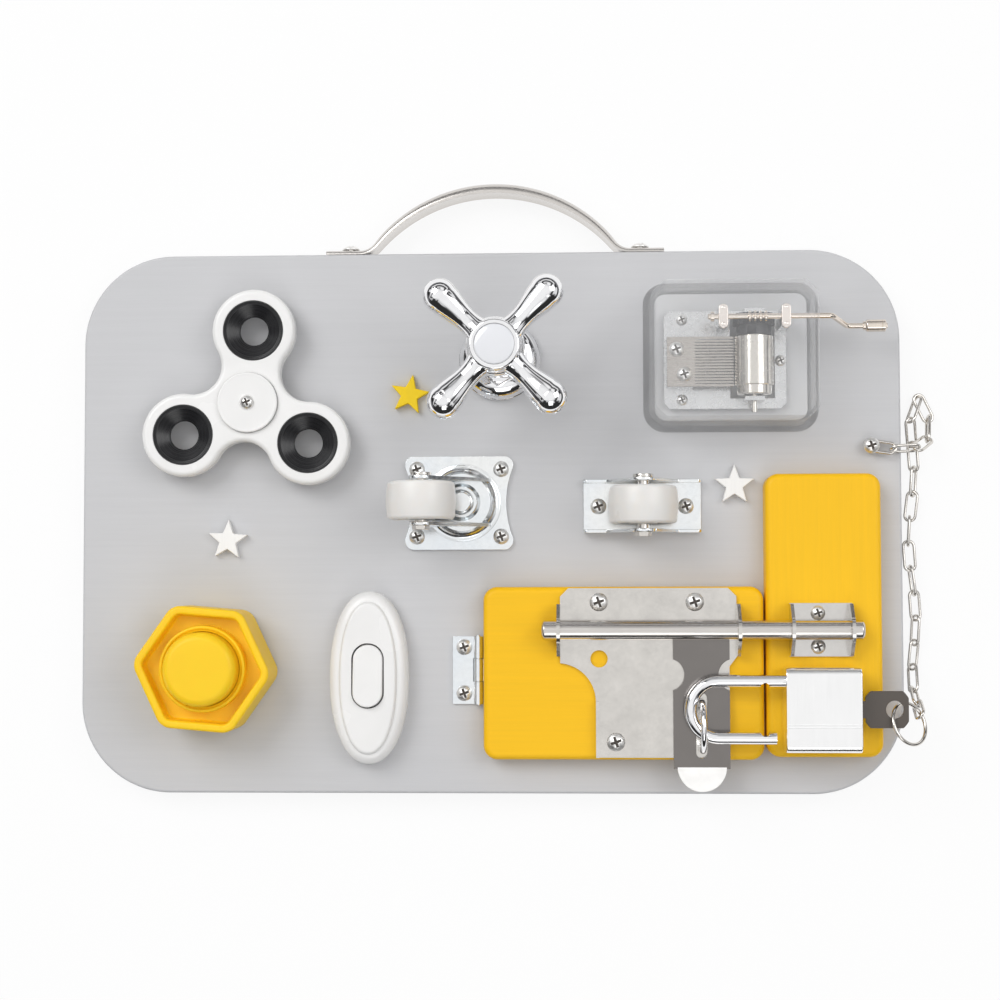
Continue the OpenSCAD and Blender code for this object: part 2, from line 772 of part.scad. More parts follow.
module crank_shaft() {
    arm = [crank_run, -crank_side, -crank_throw];
    color(steel) at_face([0, crank_y], crank_h) {
        translate([shaft_x0, 0, 0]) rotate([0, 90, 0]) cylinder(h = shaft_x1 - shaft_x0, d = crank_d);
        for (s = [0:3]) translate([drum_x - 3.4 + s * 1.9, 0, 0]) rotate([0, 90, 0])
            cylinder(h = 1.2, r = worm_r);
        translate([shaft_x0 + 1, 0, 0]) rotate([0, 90, 0]) cylinder(h = 1.4, d = crank_d + 1.6);
        translate([shaft_x1, 0, 0]) {
            sphere(d = crank_d + 0.2);
            rotate([0, acos(arm[2] / norm(arm)), atan2(arm[1], arm[0])])
                cylinder(h = norm(arm), d = crank_d);
            translate(arm) {
                sphere(d = crank_d + 0.2);
                rotate([0, 90, 0]) cylinder(h = crank_pin_l, d = crank_d);
            }
        }
    }
}

module crank_knob() {
    knob_l = 8.2;
    color(steel) at_face([shaft_x1 + crank_run + crank_pin_l - knob_l + 0.6, crank_y - crank_side],
        crank_h - crank_throw) rotate([0, 90, 0]) difference() {
            cylinder(h = knob_l, d = crank_d + 2.4);
            translate([0, 0, -1]) cylinder(h = knob_l + 0.4, d = crank_d);
        }
}

// ---------- Swivel caster ----------

caster_sheet_t = 1.6;
swivel_at = caster_at + [1.2, 0];
fork_in = wheel_w / 2 + 0.7;
fork_t = 1.3;
dish_h = 2.3;
dish_r = 14.2;

module caster_plate() {
    corner_r = 3.2;
    bite_r = 34;
    bite_in = 2.6;
    color(zinc) union() {
        at_face(caster_at) difference() {
            linear_extrude(caster_sheet_t) difference() {
                rounded_rect(caster_plate_w, caster_plate_l, corner_r);
                for (s = [-1, 1]) translate([s * (caster_plate_w / 2 + bite_r - bite_in), 0])
                    circle(bite_r, $fn = 120);
            }
            for (sx = [-1, 1], sy = [-1, 1])
                translate([sx * caster_holes_w / 2, sy * caster_holes_l / 2, -1])
                    cylinder(h = caster_sheet_t + 2, d = wood_shank_d + 2 * hole_fit);
        }
        at_face(swivel_at) {
            cylinder(h = 9.3, d = 6);
            translate([0, 0, 9.3]) cylinder(h = 1.2, r1 = 4.4, r2 = 3.4);
        }
    }
}

module fork_leg() {
    ear_r = 4.6;
    difference() {
        union() {
            translate([-caster_trail, caster_axle_h]) circle(ear_r);
            polygon([[-caster_trail - ear_r * 0.95, caster_axle_h - 1.4], [-11.4, dish_h],
                [11, dish_h], [9.5, 6],
                [-caster_trail + 3.4, caster_axle_h + 3.1], [-caster_trail, caster_axle_h]]);
        }
        translate([-caster_trail, caster_axle_h]) circle(d = axle_d);
    }
}

module caster_yoke() {
    color(zinc) at_face(swivel_at) difference() {
        union() {
            translate([0, 0, dish_h]) cylinder(h = 1.2, r = dish_r);
            translate([0, 0, dish_h]) cylinder(h = 4.4, r1 = 12.6, r2 = 10.4);
            translate([0, 0, dish_h]) cylinder(h = 6.6, r1 = 6.6, r2 = 5.6);
            intersection() {
                for (s = [-1, 1])
                    translate([0, s * (fork_in + fork_t / 2), 0]) rotate([90, 0, 0])
                        linear_extrude(fork_t, center = true) fork_leg();
                translate([0, 0, dish_h]) cylinder(h = 60, r = 40);
            }
        }
        translate([0, 0, -1]) cylinder(h = 30, d = 6 + 2 * run_fit);
    }
}

module wheel_axle(half_l) {
    rotate([90, 0, 0]) {
        cylinder(h = 2 * half_l, d = axle_d, center = true);
        translate([0, 0, -half_l - 1]) cylinder(h = 1.2, d = axle_d + 3.4);
        translate([0, 0, half_l - 0.2]) cylinder(h = 1.6, d = axle_d + 2.4, $fn = 6);
    }
}

module wheel() {
    edge = 1.6;
    r = wheel_d / 2;
    rotate([90, 0, 0]) rotate_extrude() polygon([
        [axle_d / 2 + run_fit, -wheel_w / 2], [5, -wheel_w / 2], [5, -wheel_w / 2 + 1],
        [r - 3, -wheel_w / 2 + 1], [r - 3, -wheel_w / 2], [r - edge, -wheel_w / 2],
            [r - 0.4, -wheel_w / 2 + edge],
        [r, 0], [r - 0.4, wheel_w / 2 - edge], [r - edge, wheel_w / 2], [r - 3, wheel_w / 2],
        [r - 3, wheel_w / 2 - 1], [5, wheel_w / 2 - 1], [5, wheel_w / 2],
            [axle_d / 2 + run_fit, wheel_w / 2]]);
}

module caster_axle() {
    color(steel) at_face(swivel_at + [-caster_trail, 0], caster_axle_h)
        wheel_axle(fork_in + fork_t + 0.2);
}

module caster_wheel() {
    color(white_plastic) at_face(swivel_at + [-caster_trail, 0], caster_axle_h) wheel();
}

// ---------- Fixed caster ----------

module bracket_plate() {
    ear_r = 4.8;
    flange_h = 4.6;
    color(zinc) at_face(bracket_at) difference() {
        union() {
            translate([-bracket_l / 2, -bracket_w / 2, 0]) cube([bracket_l, bracket_w, sheet_t]);
            for (s = [-1, 1])
                translate([0, s * (bracket_w / 2 - sheet_t / 2), 0]) rotate([90, 0, 0])
                    linear_extrude(sheet_t, center = true) {
                        polygon([[-bracket_l / 2, 0], [bracket_l / 2, 0], [bracket_l / 2, flange_h - 1],
                            [bracket_l / 2 - 1, flange_h], [13, flange_h],
                                [ear_r - 0.5, bracket_axle_h + 1.5],
                            [-ear_r + 0.5, bracket_axle_h + 1.5], [-13, flange_h],
                            [-bracket_l / 2 + 1, flange_h], [-bracket_l / 2, flange_h - 1]]);
                        translate([0, bracket_axle_h]) circle(ear_r);
                    }
        }
        for (s = [-1, 1]) translate([s * bracket_holes / 2, 0, -1])
            cylinder(h = sheet_t + 2, d = wood_shank_d + 2 * hole_fit);
        translate([0, 0, bracket_axle_h]) rotate([90, 0, 0])
            cylinder(h = bracket_w + 2, d = axle_d, center = true);
    }
}

module bracket_axle() {
    color(steel) at_face(bracket_at, bracket_axle_h) wheel_axle(bracket_w / 2 + 0.2);
}

module bracket_wheel() {
    color(white_plastic) at_face(bracket_at, bracket_axle_h) wheel();
}

// ---------- Toy nut and bolt ----------

nut_turn = -5;
nut_lift = 0.5;

module toy_bolt() {
    color(yellow_wood) at_face(nut_at) {
        cylinder(h = toy_bolt_h - 3, d = toy_bolt_d);
        translate([0, 0, toy_bolt_h - 3]) rotate_extrude() intersection() {
            square([toy_bolt_d, 3]);
            union() {
                square([toy_bolt_d / 2 - 3, 3]);
                translate([toy_bolt_d / 2 - 3, 0]) circle(3);
            }
        }
    }
}

module hex_block(flats, h, corner_r) {
    vertex_at = (flats / 2 - corner_r) / cos(30);
    hull() for (i = [0:5]) rotate(i * 60) translate([vertex_at, 0, 0]) {
        cylinder(h = h - 0.8, r = corner_r, $fn = hull_fn);
        cylinder(h = h, r = corner_r - 0.8, $fn = hull_fn);
    }
}

module toy_nut() {
    rim = 3;
    floor_h = nut_h - 7;
    color(yellow_wood) at_face(nut_at, nut_lift) rotate(nut_turn) difference() {
        hex_block(nut_flats, nut_h, 3);
        difference() {
            translate([0, 0, floor_h]) hex_block(nut_flats - 2 * rim, nut_h, 2);
            cylinder(h = nut_h - 1.5, d = nut_collar_d);
        }
        translate([0, 0, -1]) cylinder(h = nut_h + 2, d = toy_bolt_d + 2 * run_fit);
    }
}

// ---------- Switch ----------

rocker_pin_d = 2;
rocker_pin_h = switch_h - 1.8;
rocker_y = 0.8;
slot_play = 0.5;
ridge_h = 1.6;
pin_bite = 1.9;

// Long blunt oval: two shallow side arcs that meet a round end.
module oval_outline(w, l) {
    end_r = 0.3 * w;
    end_at = l / 2 - end_r;
    rise = w / 2 - end_r;
    side_r = (end_at * end_at + rise * rise) / (2 * rise);
    for (s = [-1, 1]) translate([0, s * end_at]) circle(end_r - 0.01);
    intersection() {
        translate([side_r + end_r - w / 2, 0]) circle(side_r + end_r, $fn = 180);
        translate([w / 2 - side_r - end_r, 0]) circle(side_r + end_r, $fn = 180);
        square([w + 1, 2 * end_at], center = true);
    }
}

module rocker_slot(h) {
    slot_r = rocker_w / 2 + slot_play;
    linear_extrude(h) {
        square([2 * slot_r, rocker_l - rocker_w], center = true);
        for (s = [-1, 1]) translate([0, s * (rocker_l - rocker_w) / 2]) circle(slot_r);
    }
}

module switch_base() {
    color(white_plastic) at_face(switch_at) linear_extrude(1.4)
        square([switch_w * 0.5, switch_l * 0.5], center = true);
}

// The cover rises in three tiers to a ridge, and its slot walls carry the rocker's pin.
module switch_cover() {
    wall = 1.8;
    edge = 1.3;
    shoulder_h = switch_h - ridge_h;
    color(white_plastic) at_face(switch_at) difference() {
        union() {
            linear_extrude(shoulder_h - edge) oval_outline(switch_w, switch_l);
            linear_extrude(shoulder_h) oval_outline(switch_w - 2 * edge, switch_l - 2 * edge);
            linear_extrude(switch_h) oval_outline(0.7 * switch_w, switch_l - 8);
        }
        translate([0, 0, -1]) linear_extrude(shoulder_h - wall + 1)
            oval_outline(switch_w - 2 * (wall + edge), switch_l - 2 * (wall + edge));
        translate([0, rocker_y, -1]) rocker_slot(switch_h + 3);
        translate([0, rocker_y, rocker_pin_h]) rotate([0, 90, 0])
            cylinder(h = rocker_w + 2 * (slot_play + pin_bite + gap),
                d = rocker_pin_d + 2 * run_fit, center = true);
    }
}

module switch_rocker() {
    top = switch_h + 1.5;
    low = rocker_pin_h - 1.8;
    half = rocker_l / 2;
    body_w = rocker_w - 0.2;
    color(white_plastic) at_face(switch_at + [0, rocker_y]) {
        intersection() {
            translate([0, 0, low - 1]) linear_extrude(20) {
                square([body_w, rocker_l - rocker_w - slot_play], center = true);
                for (s = [-1, 1]) translate([0, s * ((rocker_l - rocker_w - slot_play) / 2)])
                    circle(body_w / 2);
            }
            rotate([90, 0, 90]) linear_extrude(rocker_w + 2, center = true)
                polygon([[-half, low + 1], [-4, low], [4, low], [half, low + 1],
                    [half, top - 2.2], [-half * 0.5, top - 0.2], [-half, top + 1.2]]);
            translate([0, 0, rocker_pin_h]) rotate([0, 90, 0])
                cylinder(h = 2 * rocker_w, r = half - slot_play / 2, center = true);
        }
        translate([0, 0, rocker_pin_h]) rotate([0, 90, 0])
            cylinder(h = rocker_w + 2 * (slot_play + pin_bite), d = rocker_pin_d, center = true);
    }
}

// ---------- Door, block and hinge ----------

hinge_pin_d = 1.6;

module slab_at(x0, x1, y0, y1, low, top, edge) {
    at_face([(x0 + x1) / 2, (y0 + y1) / 2], low)
        soft_slab(x1 - x0, y1 - y0, top - low, door_r, edge);
}

module fixed_block() {
    color(yellow_wood) difference() {
        slab_at(block_x0, block_x1, block_y0, block_y0 + block_l, 0, door_top, 2.5);
        for (p = keeper_hole_places())
            at_face(p, door_top - bite - gap) cylinder(h = bite + 1, d = pan_shank_d + 2 * hole_fit);
    }
}

module door_panel() {
    color(yellow_wood) difference() {
        slab_at(door_x0, door_x1, door_y0, door_y1, door_under, door_top, 2.5);
        for (p = latch_holes)
            at_face(p, door_top - bite - gap) cylinder(h = bite + 1, d = pan_shank_d + 2 * hole_fit);
    }
}

// Knuckles along the hinge pin: the board leaf has the two outer ones, the door leaf the middle one.
module knuckle(from, to) {
    translate([pin_x, hinge_y + from, face + pin_h]) rotate([-90, 0, 0])
        cylinder(h = to - from, d = knuckle_d);
}

knuckle_l = hinge_l / 3;

module hinge_board_leaf() {
    leaf_x0 = pin_x - 9.4;
    color(zinc) difference() {
        union() {
            at_face([leaf_x0, hinge_y - hinge_l / 2]) cube([pin_x - leaf_x0, hinge_l, hinge_sheet_t]);
            knuckle(-hinge_l / 2, -knuckle_l / 2 - 0.15);
            knuckle(knuckle_l / 2 + 0.15, hinge_l / 2);
        }
        at_face([pin_x - knuckle_d / 2 - 0.3, hinge_y - knuckle_l / 2 - 0.15], -1)
            cube([knuckle_d + 1, knuckle_l + 0.3, 6]);
        translate([pin_x, hinge_y - hinge_l, face + pin_h]) rotate([-90, 0, 0])
            cylinder(h = 2 * hinge_l, d = hinge_pin_d);
        for (p = hinge_hole_places()) at_face(p, -1) cylinder(h = 4, d = wood_shank_d + 2 * hole_fit);
    }
}

module hinge_door_leaf() {
    leaf_x1 = door_x0 + 14;
    color(zinc) difference() {
        union() {
            knuckle(-knuckle_l / 2, knuckle_l / 2);
            at_face([pin_x, hinge_y - knuckle_l / 2], 0.15) cube([3, knuckle_l, hinge_sheet_t]);
            at_face([pin_x + knuckle_d / 2 + 0.25, hinge_y - hinge_l / 2], 0.15)
                cube([leaf_x1 - pin_x - knuckle_d / 2 - 0.25, hinge_l, hinge_sheet_t]);
        }
        translate([pin_x, hinge_y - hinge_l, face + pin_h]) rotate([-90, 0, 0])
            cylinder(h = 2 * hinge_l, d = hinge_pin_d + 2 * run_fit);
    }
}

module hinge_pin() {
    color(steel) translate([pin_x, hinge_y - hinge_l / 2 - 0.4, face + pin_h]) rotate([-90, 0, 0])
        cylinder(h = hinge_l + 0.8, d = hinge_pin_d);
}

// ---------- Latch ----------

ear_h = rod_h + rod_d / 2 + 2.2;
ear_l = 18.6;

// A bent-up ear with a round hole for the rod, standing across the rod's axis.
module rod_ear(x, low) {
    translate([x, rod_y, face]) rotate([90, 0, 90]) linear_extrude(sheet_t, center = true)
        difference() {
        union() {
            translate([-ear_l / 2, low]) square([ear_l, rod_h - low - 1]);
            translate([0, rod_h]) circle(ear_h - rod_h);
            polygon([[-ear_l / 2, rod_h - 1.01], [ear_l / 2, rod_h - 1.01], [3.4, ear_h - 1.2],
                [-3.4, ear_h - 1.2]]);
        }
        translate([0, rod_h]) circle(rod_d / 2 + run_fit);
    }
}

module latch_outline() {
    top = door_y1 - 0.5;
    foot = door_y0 + 1;
    cut = 3;
    bay_r = 13.8;
    right = latch_x1;
    foot_right = latch_x1 - 2.6;
    difference() {
        polygon([[latch_x0 + cut, top], [right - cut, top], [right, top - cut], [right, rod_y - 9.6],
            [foot_right, rod_y - 13], [foot_right, foot], [latch_foot_x0, foot],
            [latch_foot_x0, rod_y - 25.2], [latch_x0, rod_y - 12.4], [latch_x0, top - cut]]);
        translate([latch_foot_x0 - bay_r, rod_y - 25.6]) circle(bay_r, $fn = 90);
        translate([latch_x0 + 13.9, rod_y - 10.3]) circle(3.1);
    }
}

module latch_plate() {
    lip_h = 1.6;
    color(steel) difference() {
        union() {
            at_face([0, 0], door_top) linear_extrude(sheet_t) latch_outline();
            rod_ear(latch_x0 - sheet_t / 2, door_top);
            rod_ear(latch_x1 + sheet_t / 2, door_top);
            at_face([latch_foot_x0, door_y0 + 1], door_top)
                cube([sheet_t, 20, sheet_t + lip_h]);
        }
        for (p = latch_holes) at_face(p, door_top - 1) cylinder(h = 4, d = pan_shank_d + 2 * hole_fit);
        for (s = [-1, 1]) at_face([staple_x, staple_y + s * staple_r], door_top - 1)
            cylinder(h = 4, d = staple_wire_d + 2 * hole_fit);
    }
}

module latch_screws() {
    color(steel) for (p = latch_holes) at_face(p, plate_top) screw(pan_head_d, pan_shank_d, bite);
}

module latch_staple() {
    leg_top = lock_h - 1.2;
    color(chrome_metal) translate([staple_x, staple_y, face]) {
        for (s = [-1, 1]) translate([0, s * staple_r, door_top + hole_fit])
            cylinder(h = leg_top - door_top - hole_fit, d = staple_wire_d);
        translate([0, 0, leg_top]) rotate([90, 0, 90]) rotate_extrude(angle = 180)
            translate([staple_r, 0]) circle(d = staple_wire_d);
    }
}

module latch_bolt() {
    color(steel) translate([rod_x0, rod_y, face + rod_h]) rotate([0, 90, 0]) {
        translate([0, 0, 0.8]) cylinder(h = rod_l - 1.6, d = rod_d);
        cylinder(h = 0.8, d1 = rod_d - 1.6, d2 = rod_d);
        translate([0, 0, rod_l - 0.8]) cylinder(h = 0.8, d1 = rod_d, d2 = rod_d - 1.6);
    }
}

hasp_w = 20;
hasp_t = 1.5;
hasp_low = plate_top + 0.6;
hasp_foot = door_y0 - 2.8;

module hasp_outline() {
    notch_y = rod_y - 16;
    notch_r = 5.8;
    slot_w = staple_wire_d + 1.9;
    slot_l = 2 * staple_r + staple_wire_d + 4;
    difference() {
        translate([staple_x - hasp_w / 2, hasp_foot]) square([hasp_w, rod_y - 2 - hasp_foot]);
        for (s = [-1, 1]) translate([staple_x + s * (hasp_w / 2 + 1.8), notch_y]) circle(notch_r);
        translate([staple_x - slot_w / 2, staple_y - slot_l / 2 + slot_w / 2])
            square([slot_w, slot_l - slot_w]);
        for (s = [-1, 1]) translate([staple_x, staple_y + s * (slot_l - slot_w) / 2])
            circle(slot_w / 2);
    }
}

module latch_hasp() {
    tongue_w = 17.4;
    color(steel) difference() {
        union() {
            at_face([0, 0], hasp_low) linear_extrude(hasp_t) hasp_outline();
            at_face([staple_x, hasp_foot + 0.4], hasp_low) rotate([-14, 0, 0]) linear_extrude(hasp_t)
                intersection() {
                    circle(tongue_w / 2);
                    translate([-hasp_w, -hasp_w]) square([2 * hasp_w, hasp_w]);
                }
            translate([staple_x - hasp_w / 2, rod_y - 3.2, face + hasp_low]) cube([hasp_w, 3, 2.4]);
        }
        translate([staple_x, rod_y, face + rod_h]) rotate([0, 90, 0])
            cylinder(h = 3 * hasp_w, d = rod_d + 2 * hole_fit, center = true);
    }
}

module keeper() {
    color(steel) difference() {
        union() {
            at_face([keeper_x - keeper_w / 2, rod_y - keeper_l / 2], door_top)
                cube([keeper_w, keeper_l, sheet_t]);
            for (s = [-1, 1]) rod_ear(keeper_x + s * (keeper_w / 2 - sheet_t / 2), door_top);
        }
        for (p = keeper_hole_places()) at_face(p, door_top - 1)
            cylinder(h = 4, d = pan_shank_d + 2 * hole_fit);
    }
}

module keeper_screws() {
    color(steel) for (p = keeper_hole_places()) at_face(p, plate_top) screw(5.2, pan_shank_d, bite);
}

// ---------- Padlock ----------

plug_d = 8;

module at_lock(x) {
    translate([x, lock_y, face + lock_h]) children();
}

module padlock_shackle() {
    leg_bite = 12.5;
    long_x = lock_x0 + leg_bite;
    short_x = lock_x0 - 2.8;
    notch_r = 1.7;
    r = shackle_d / 2;
    color(chrome_metal) difference() {
        union() {
            at_lock(bend_x) {
                translate([0, bend_r, 0]) rotate([0, 90, 0]) cylinder(h = long_x - bend_x, r = r);
                translate([0, -bend_r, 0]) rotate([0, 90, 0]) cylinder(h = short_x - bend_x, r = r);
                rotate(90) rotate_extrude(angle = 180) translate([bend_r, 0]) circle(r);
            }
        }
        for (s = [-1, 1]) at_lock(short_x - 4) translate([0, s * (bend_r - r), 0])
            cylinder(h = 3 * r, r = notch_r, center = true);
    }
}

module padlock_body() {
    color(chrome_metal) difference() {
        at_lock(lock_x0) rotate([90, 0, 90]) linear_extrude(lock_l) rounded_rect(lock_w, lock_t, 2.6);
        for (s = [-1, 1]) at_lock(lock_x0 - 1) translate([0, s * bend_r, 0]) rotate([0, 90, 0])
            cylinder(h = lock_l - (s > 0 ? 2 : 12), r = shackle_d / 2 + run_fit);
        at_lock(lock_x1 - 16) rotate([0, 90, 0]) cylinder(h = 20, r = plug_d / 2 + run_fit);
    }
}

module padlock_plug() {
    color(steel) difference() {
        at_lock(lock_x1 - 15.6) rotate([0, 90, 0]) cylinder(h = 15.4, r = plug_d / 2);
        at_lock(lock_x1 - 13) translate([0, -3.2, -key_t / 2]) cube([20, 6.4, key_t]);
    }
}

module padlock_key() {
    blade_l = 12.4;
    key_hole_r = 3.15;
    color(black_steel) at_lock(lock_x1) translate([0, 0, -key_t / 2]) linear_extrude(key_t)
        difference() {
        union() {
            translate([-blade_l, -3]) square([blade_l, 6]);
            translate([-0.1, -3]) square([4, 6]);
            intersection() {
                translate([9.4, 0]) circle(8.6);
                translate([2, -6.5]) square([15, 13]);
            }
        }
        translate([hole_x - lock_x1, 0]) circle(key_hole_r);
    }
}

ring_d = 16.4;
ring_wire_d = 1.3;

module key_ring() {
    lean = 40;
    swing = 30;
    mid_r = (ring_d - ring_wire_d) / 2;
    start = 111;
    color(steel) at_lock(hole_x) rotate([0, lean, swing])
        translate([-mid_r * cos(start), -mid_r * sin(start), 0]) rotate_extrude()
            translate([mid_r, 0]) circle(d = ring_wire_d);
}

// ---------- Chain ----------

// Where each link hands over to the next: distance past the panel's right edge,
// Y, and height over the table.
// The chain drops off the panel, turns back on the table, runs along the edge and climbs to the ring.
link_drop = [[-12, 27, 13.2], [-3.5, 25.5, 15.4], [5.5, 26, 13], [10.5, 29.5, 7], [11.5, 37.5, 2.8]];
link_turn = [[8, 45, 2.4], [4.5, 36.5, 5]];
link_climb = [[4.5, -53.5, 3], [4.2, -61.6, 6.8], [4, -66.4, 14.8], [3.6, -69.7, 23.1]];
link_pitch = 9.1;
run_links = 8;
link_joints = concat(link_drop, link_turn,
    [for (k = [0:run_links]) [4.9 + 1.2 * cos(60 * (k - 1)), 28 - link_pitch * k, 2.6]], link_climb);
// How far each link is rolled about its own length.
link_rolls = concat([-10, 60, 155, 95, 10, 60, 155], [for (k = [0:run_links - 1]) 45 + 79 * k],
    [145, 50, 135, 60]);

module link_between(from, to, roll) {
    way = to - from;
    translate((from + to) / 2) rotate(atan2(way[1], way[0])) rotate([0, -asin(way[2] / norm(way)), 0])
        rotate([roll, 0, 0]) wire_link(link_l, link_w, link_wire_d);
}

module chain() {
    color(steel) translate([right_edge, 0, 0]) for (i = [0:len(link_rolls) - 1])
        link_between(link_joints[i], link_joints[i + 1], link_rolls[i]);
}

board_panel();
carry_handle();
handle_screws();
stars_white();
star_yellow();
wood_screws();
spinner_spacer();
spinner_bearing_inner();
spinner_bearing_outer();
spinner_balls();
spinner_body();
spinner_weights();
spinner_cap();
spinner_screw();
tap_flange();
tap_body();
tap_spindle();
tap_handle();
tap_button();
music_base();
music_cover();
music_bedplate();
music_comb();
music_comb_screws();
music_plate_screws();
music_clips();
music_drum();
music_gear();
crank_shaft();
crank_knob();
caster_plate();
caster_yoke();
caster_axle();
caster_wheel();
bracket_plate();
bracket_axle();
bracket_wheel();
toy_bolt();
toy_nut();
switch_base();
switch_cover();
switch_rocker();
fixed_block();
keeper();
keeper_screws();
hinge_board_leaf();
hinge_door_leaf();
hinge_pin();
door_panel();
latch_plate();
latch_screws();
latch_staple();
latch_bolt();
latch_hasp();
padlock_shackle();
padlock_body();
padlock_plug();
padlock_key();
key_ring();
chain();
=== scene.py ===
import json
import math

import bmesh
import bpy
from mathutils import Euler, Matrix, Vector


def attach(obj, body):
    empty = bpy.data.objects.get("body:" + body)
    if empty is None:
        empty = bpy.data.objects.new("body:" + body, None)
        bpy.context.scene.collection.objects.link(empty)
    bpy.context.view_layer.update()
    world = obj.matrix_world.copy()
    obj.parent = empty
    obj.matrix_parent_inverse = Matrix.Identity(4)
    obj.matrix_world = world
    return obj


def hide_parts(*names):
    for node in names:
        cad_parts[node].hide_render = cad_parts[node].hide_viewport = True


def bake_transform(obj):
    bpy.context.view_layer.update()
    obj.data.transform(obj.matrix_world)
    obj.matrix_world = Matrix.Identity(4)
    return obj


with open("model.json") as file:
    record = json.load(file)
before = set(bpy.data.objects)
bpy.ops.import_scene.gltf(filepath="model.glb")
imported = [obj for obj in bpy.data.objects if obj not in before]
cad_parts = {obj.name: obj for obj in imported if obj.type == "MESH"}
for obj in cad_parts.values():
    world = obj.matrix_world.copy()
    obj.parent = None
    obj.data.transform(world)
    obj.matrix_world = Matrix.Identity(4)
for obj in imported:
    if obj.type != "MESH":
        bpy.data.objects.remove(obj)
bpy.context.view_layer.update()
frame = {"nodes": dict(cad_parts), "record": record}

# The object's dimensions, in millimetres, as the solids have them. +Z is out of the panel's face.
# SHARED is how near two heights are when they count as one.
MM = 0.001
FACE = 12.0
BOARD = (300.0, 198.0, 33.0)
HANDLE_X = 2.3
SPINNER = (-87.0, 43.1)
TAP = (4.3, 59.2)
MUSIC = (88.5, 59.5)
SWIVEL = (-9.5, 6.7)
BRACKET = (56.0, 5.2)
NUT = (-101.5, -53.0)
SWITCH = (-43.3, -56.7)
BLOCK = (99.8, 141.2, -85.0, 16.5)
DOOR = (-1.6, 99.0, -86.0, -24.0)
ROD_Y, ROD_H = -39.5, 14.7
LOCK_X, LOCK_Y, LOCK_H = 105.1, -67.4, 16.8
CLIP_Y, CLIP_H = 71.5, 21.25
SHARED = 0.001

behaviour = frame["record"]["behaviour"]
body_of_node = {node: body for body, nodes in behaviour["bodies"].items() for node in nodes}
slot_of_node = {part["node"]: part["material_slot"] for part in frame["record"]["subparts"]}


# ---------- Finishes ----------

def finish(name, colour, roughness, metallic=0.0, **sockets):
    """A new material with its shader set up, and its node tree's parts to hang detail on."""
    material = bpy.data.materials.new(name)
    material.use_nodes = True
    nodes, links = material.node_tree.nodes, material.node_tree.links
    shader = nodes["Principled BSDF"]
    shader.inputs["Base Color"].default_value = (*colour, 1)
    shader.inputs["Roughness"].default_value = roughness
    shader.inputs["Metallic"].default_value = metallic
    for socket, value in sockets.items():
        shader.inputs[socket.replace("_", " ")].default_value = value
    place = nodes.new("ShaderNodeTexCoord")
    return material, nodes, links, shader, place.outputs["Object"]


def streaks(nodes, links, place, stretch, scale=1.0, detail=4.0, rough=0.55):
    """Noise on the object's own coordinates, stretched to the given repeats per metre."""
    mapping = nodes.new("ShaderNodeMapping")
    mapping.inputs["Scale"].default_value = stretch
    links.new(place, mapping.inputs["Vector"])
    noise = nodes.new("ShaderNodeTexNoise")
    noise.inputs["Scale"].default_value = scale
    noise.inputs["Detail"].default_value = detail
    noise.inputs["Roughness"].default_value = rough
    links.new(mapping.outputs["Vector"], noise.inputs["Vector"])
    return noise.outputs["Fac"]


def between(nodes, links, value, low, high, start=0.3, stop=0.7):
    """Turns a noise value into a number from low to high."""
    span = nodes.new("ShaderNodeMapRange")
    span.inputs["From Min"].default_value = start
    span.inputs["From Max"].default_value = stop
    span.inputs["To Min"].default_value = low
    span.inputs["To Max"].default_value = high
    links.new(value, span.inputs["Value"])
    return span.outputs["Result"]


def tinted(nodes, links, value, shades, start=0.3, stop=0.7):
    """Turns a noise value into a colour between two shades."""
    ramp = nodes.new("ShaderNodeValToRGB")
    ramp.color_ramp.elements[0].position = start
    ramp.color_ramp.elements[0].color = (*shades[0], 1)
    ramp.color_ramp.elements[1].position = stop
    ramp.color_ramp.elements[1].color = (*shades[1], 1)
    links.new(value, ramp.inputs["Fac"])
    return ramp.outputs["Color"]


def blended(nodes, links, one, other, share):
    """Mixes two colours by a share, which is a number or a socket."""
    mix = nodes.new("ShaderNodeMix")
    mix.data_type = "RGBA"
    links.new(one, mix.inputs["A"])
    links.new(other, mix.inputs["B"])
    if isinstance(share, float):
        mix.inputs["Factor"].default_value = share
    else:
        links.new(share, mix.inputs["Factor"])
    return mix.outputs["Result"]


def reckoned(nodes, links, operation, one, other):
    """The result of a sum on a socket and another socket or number."""
    sum_of = nodes.new("ShaderNodeMath")
    sum_of.operation = operation
    links.new(one, sum_of.inputs[0])
    if isinstance(other, float):
        sum_of.inputs[1].default_value = other
    else:
        links.new(other, sum_of.inputs[1])
    return sum_of.outputs[0]


def relief(nodes, links, shader, height, strength, depth_mm):
    bump = nodes.new("ShaderNodeBump")
    bump.inputs["Strength"].default_value = strength
    bump.inputs["Distance"].default_value = depth_mm * MM
    links.new(height, bump.inputs["Height"])
    links.new(bump.outputs["Normal"], shader.inputs["Normal"])


def shade(colour, factor):
    return tuple(min(1.0, channel * factor) for channel in colour)


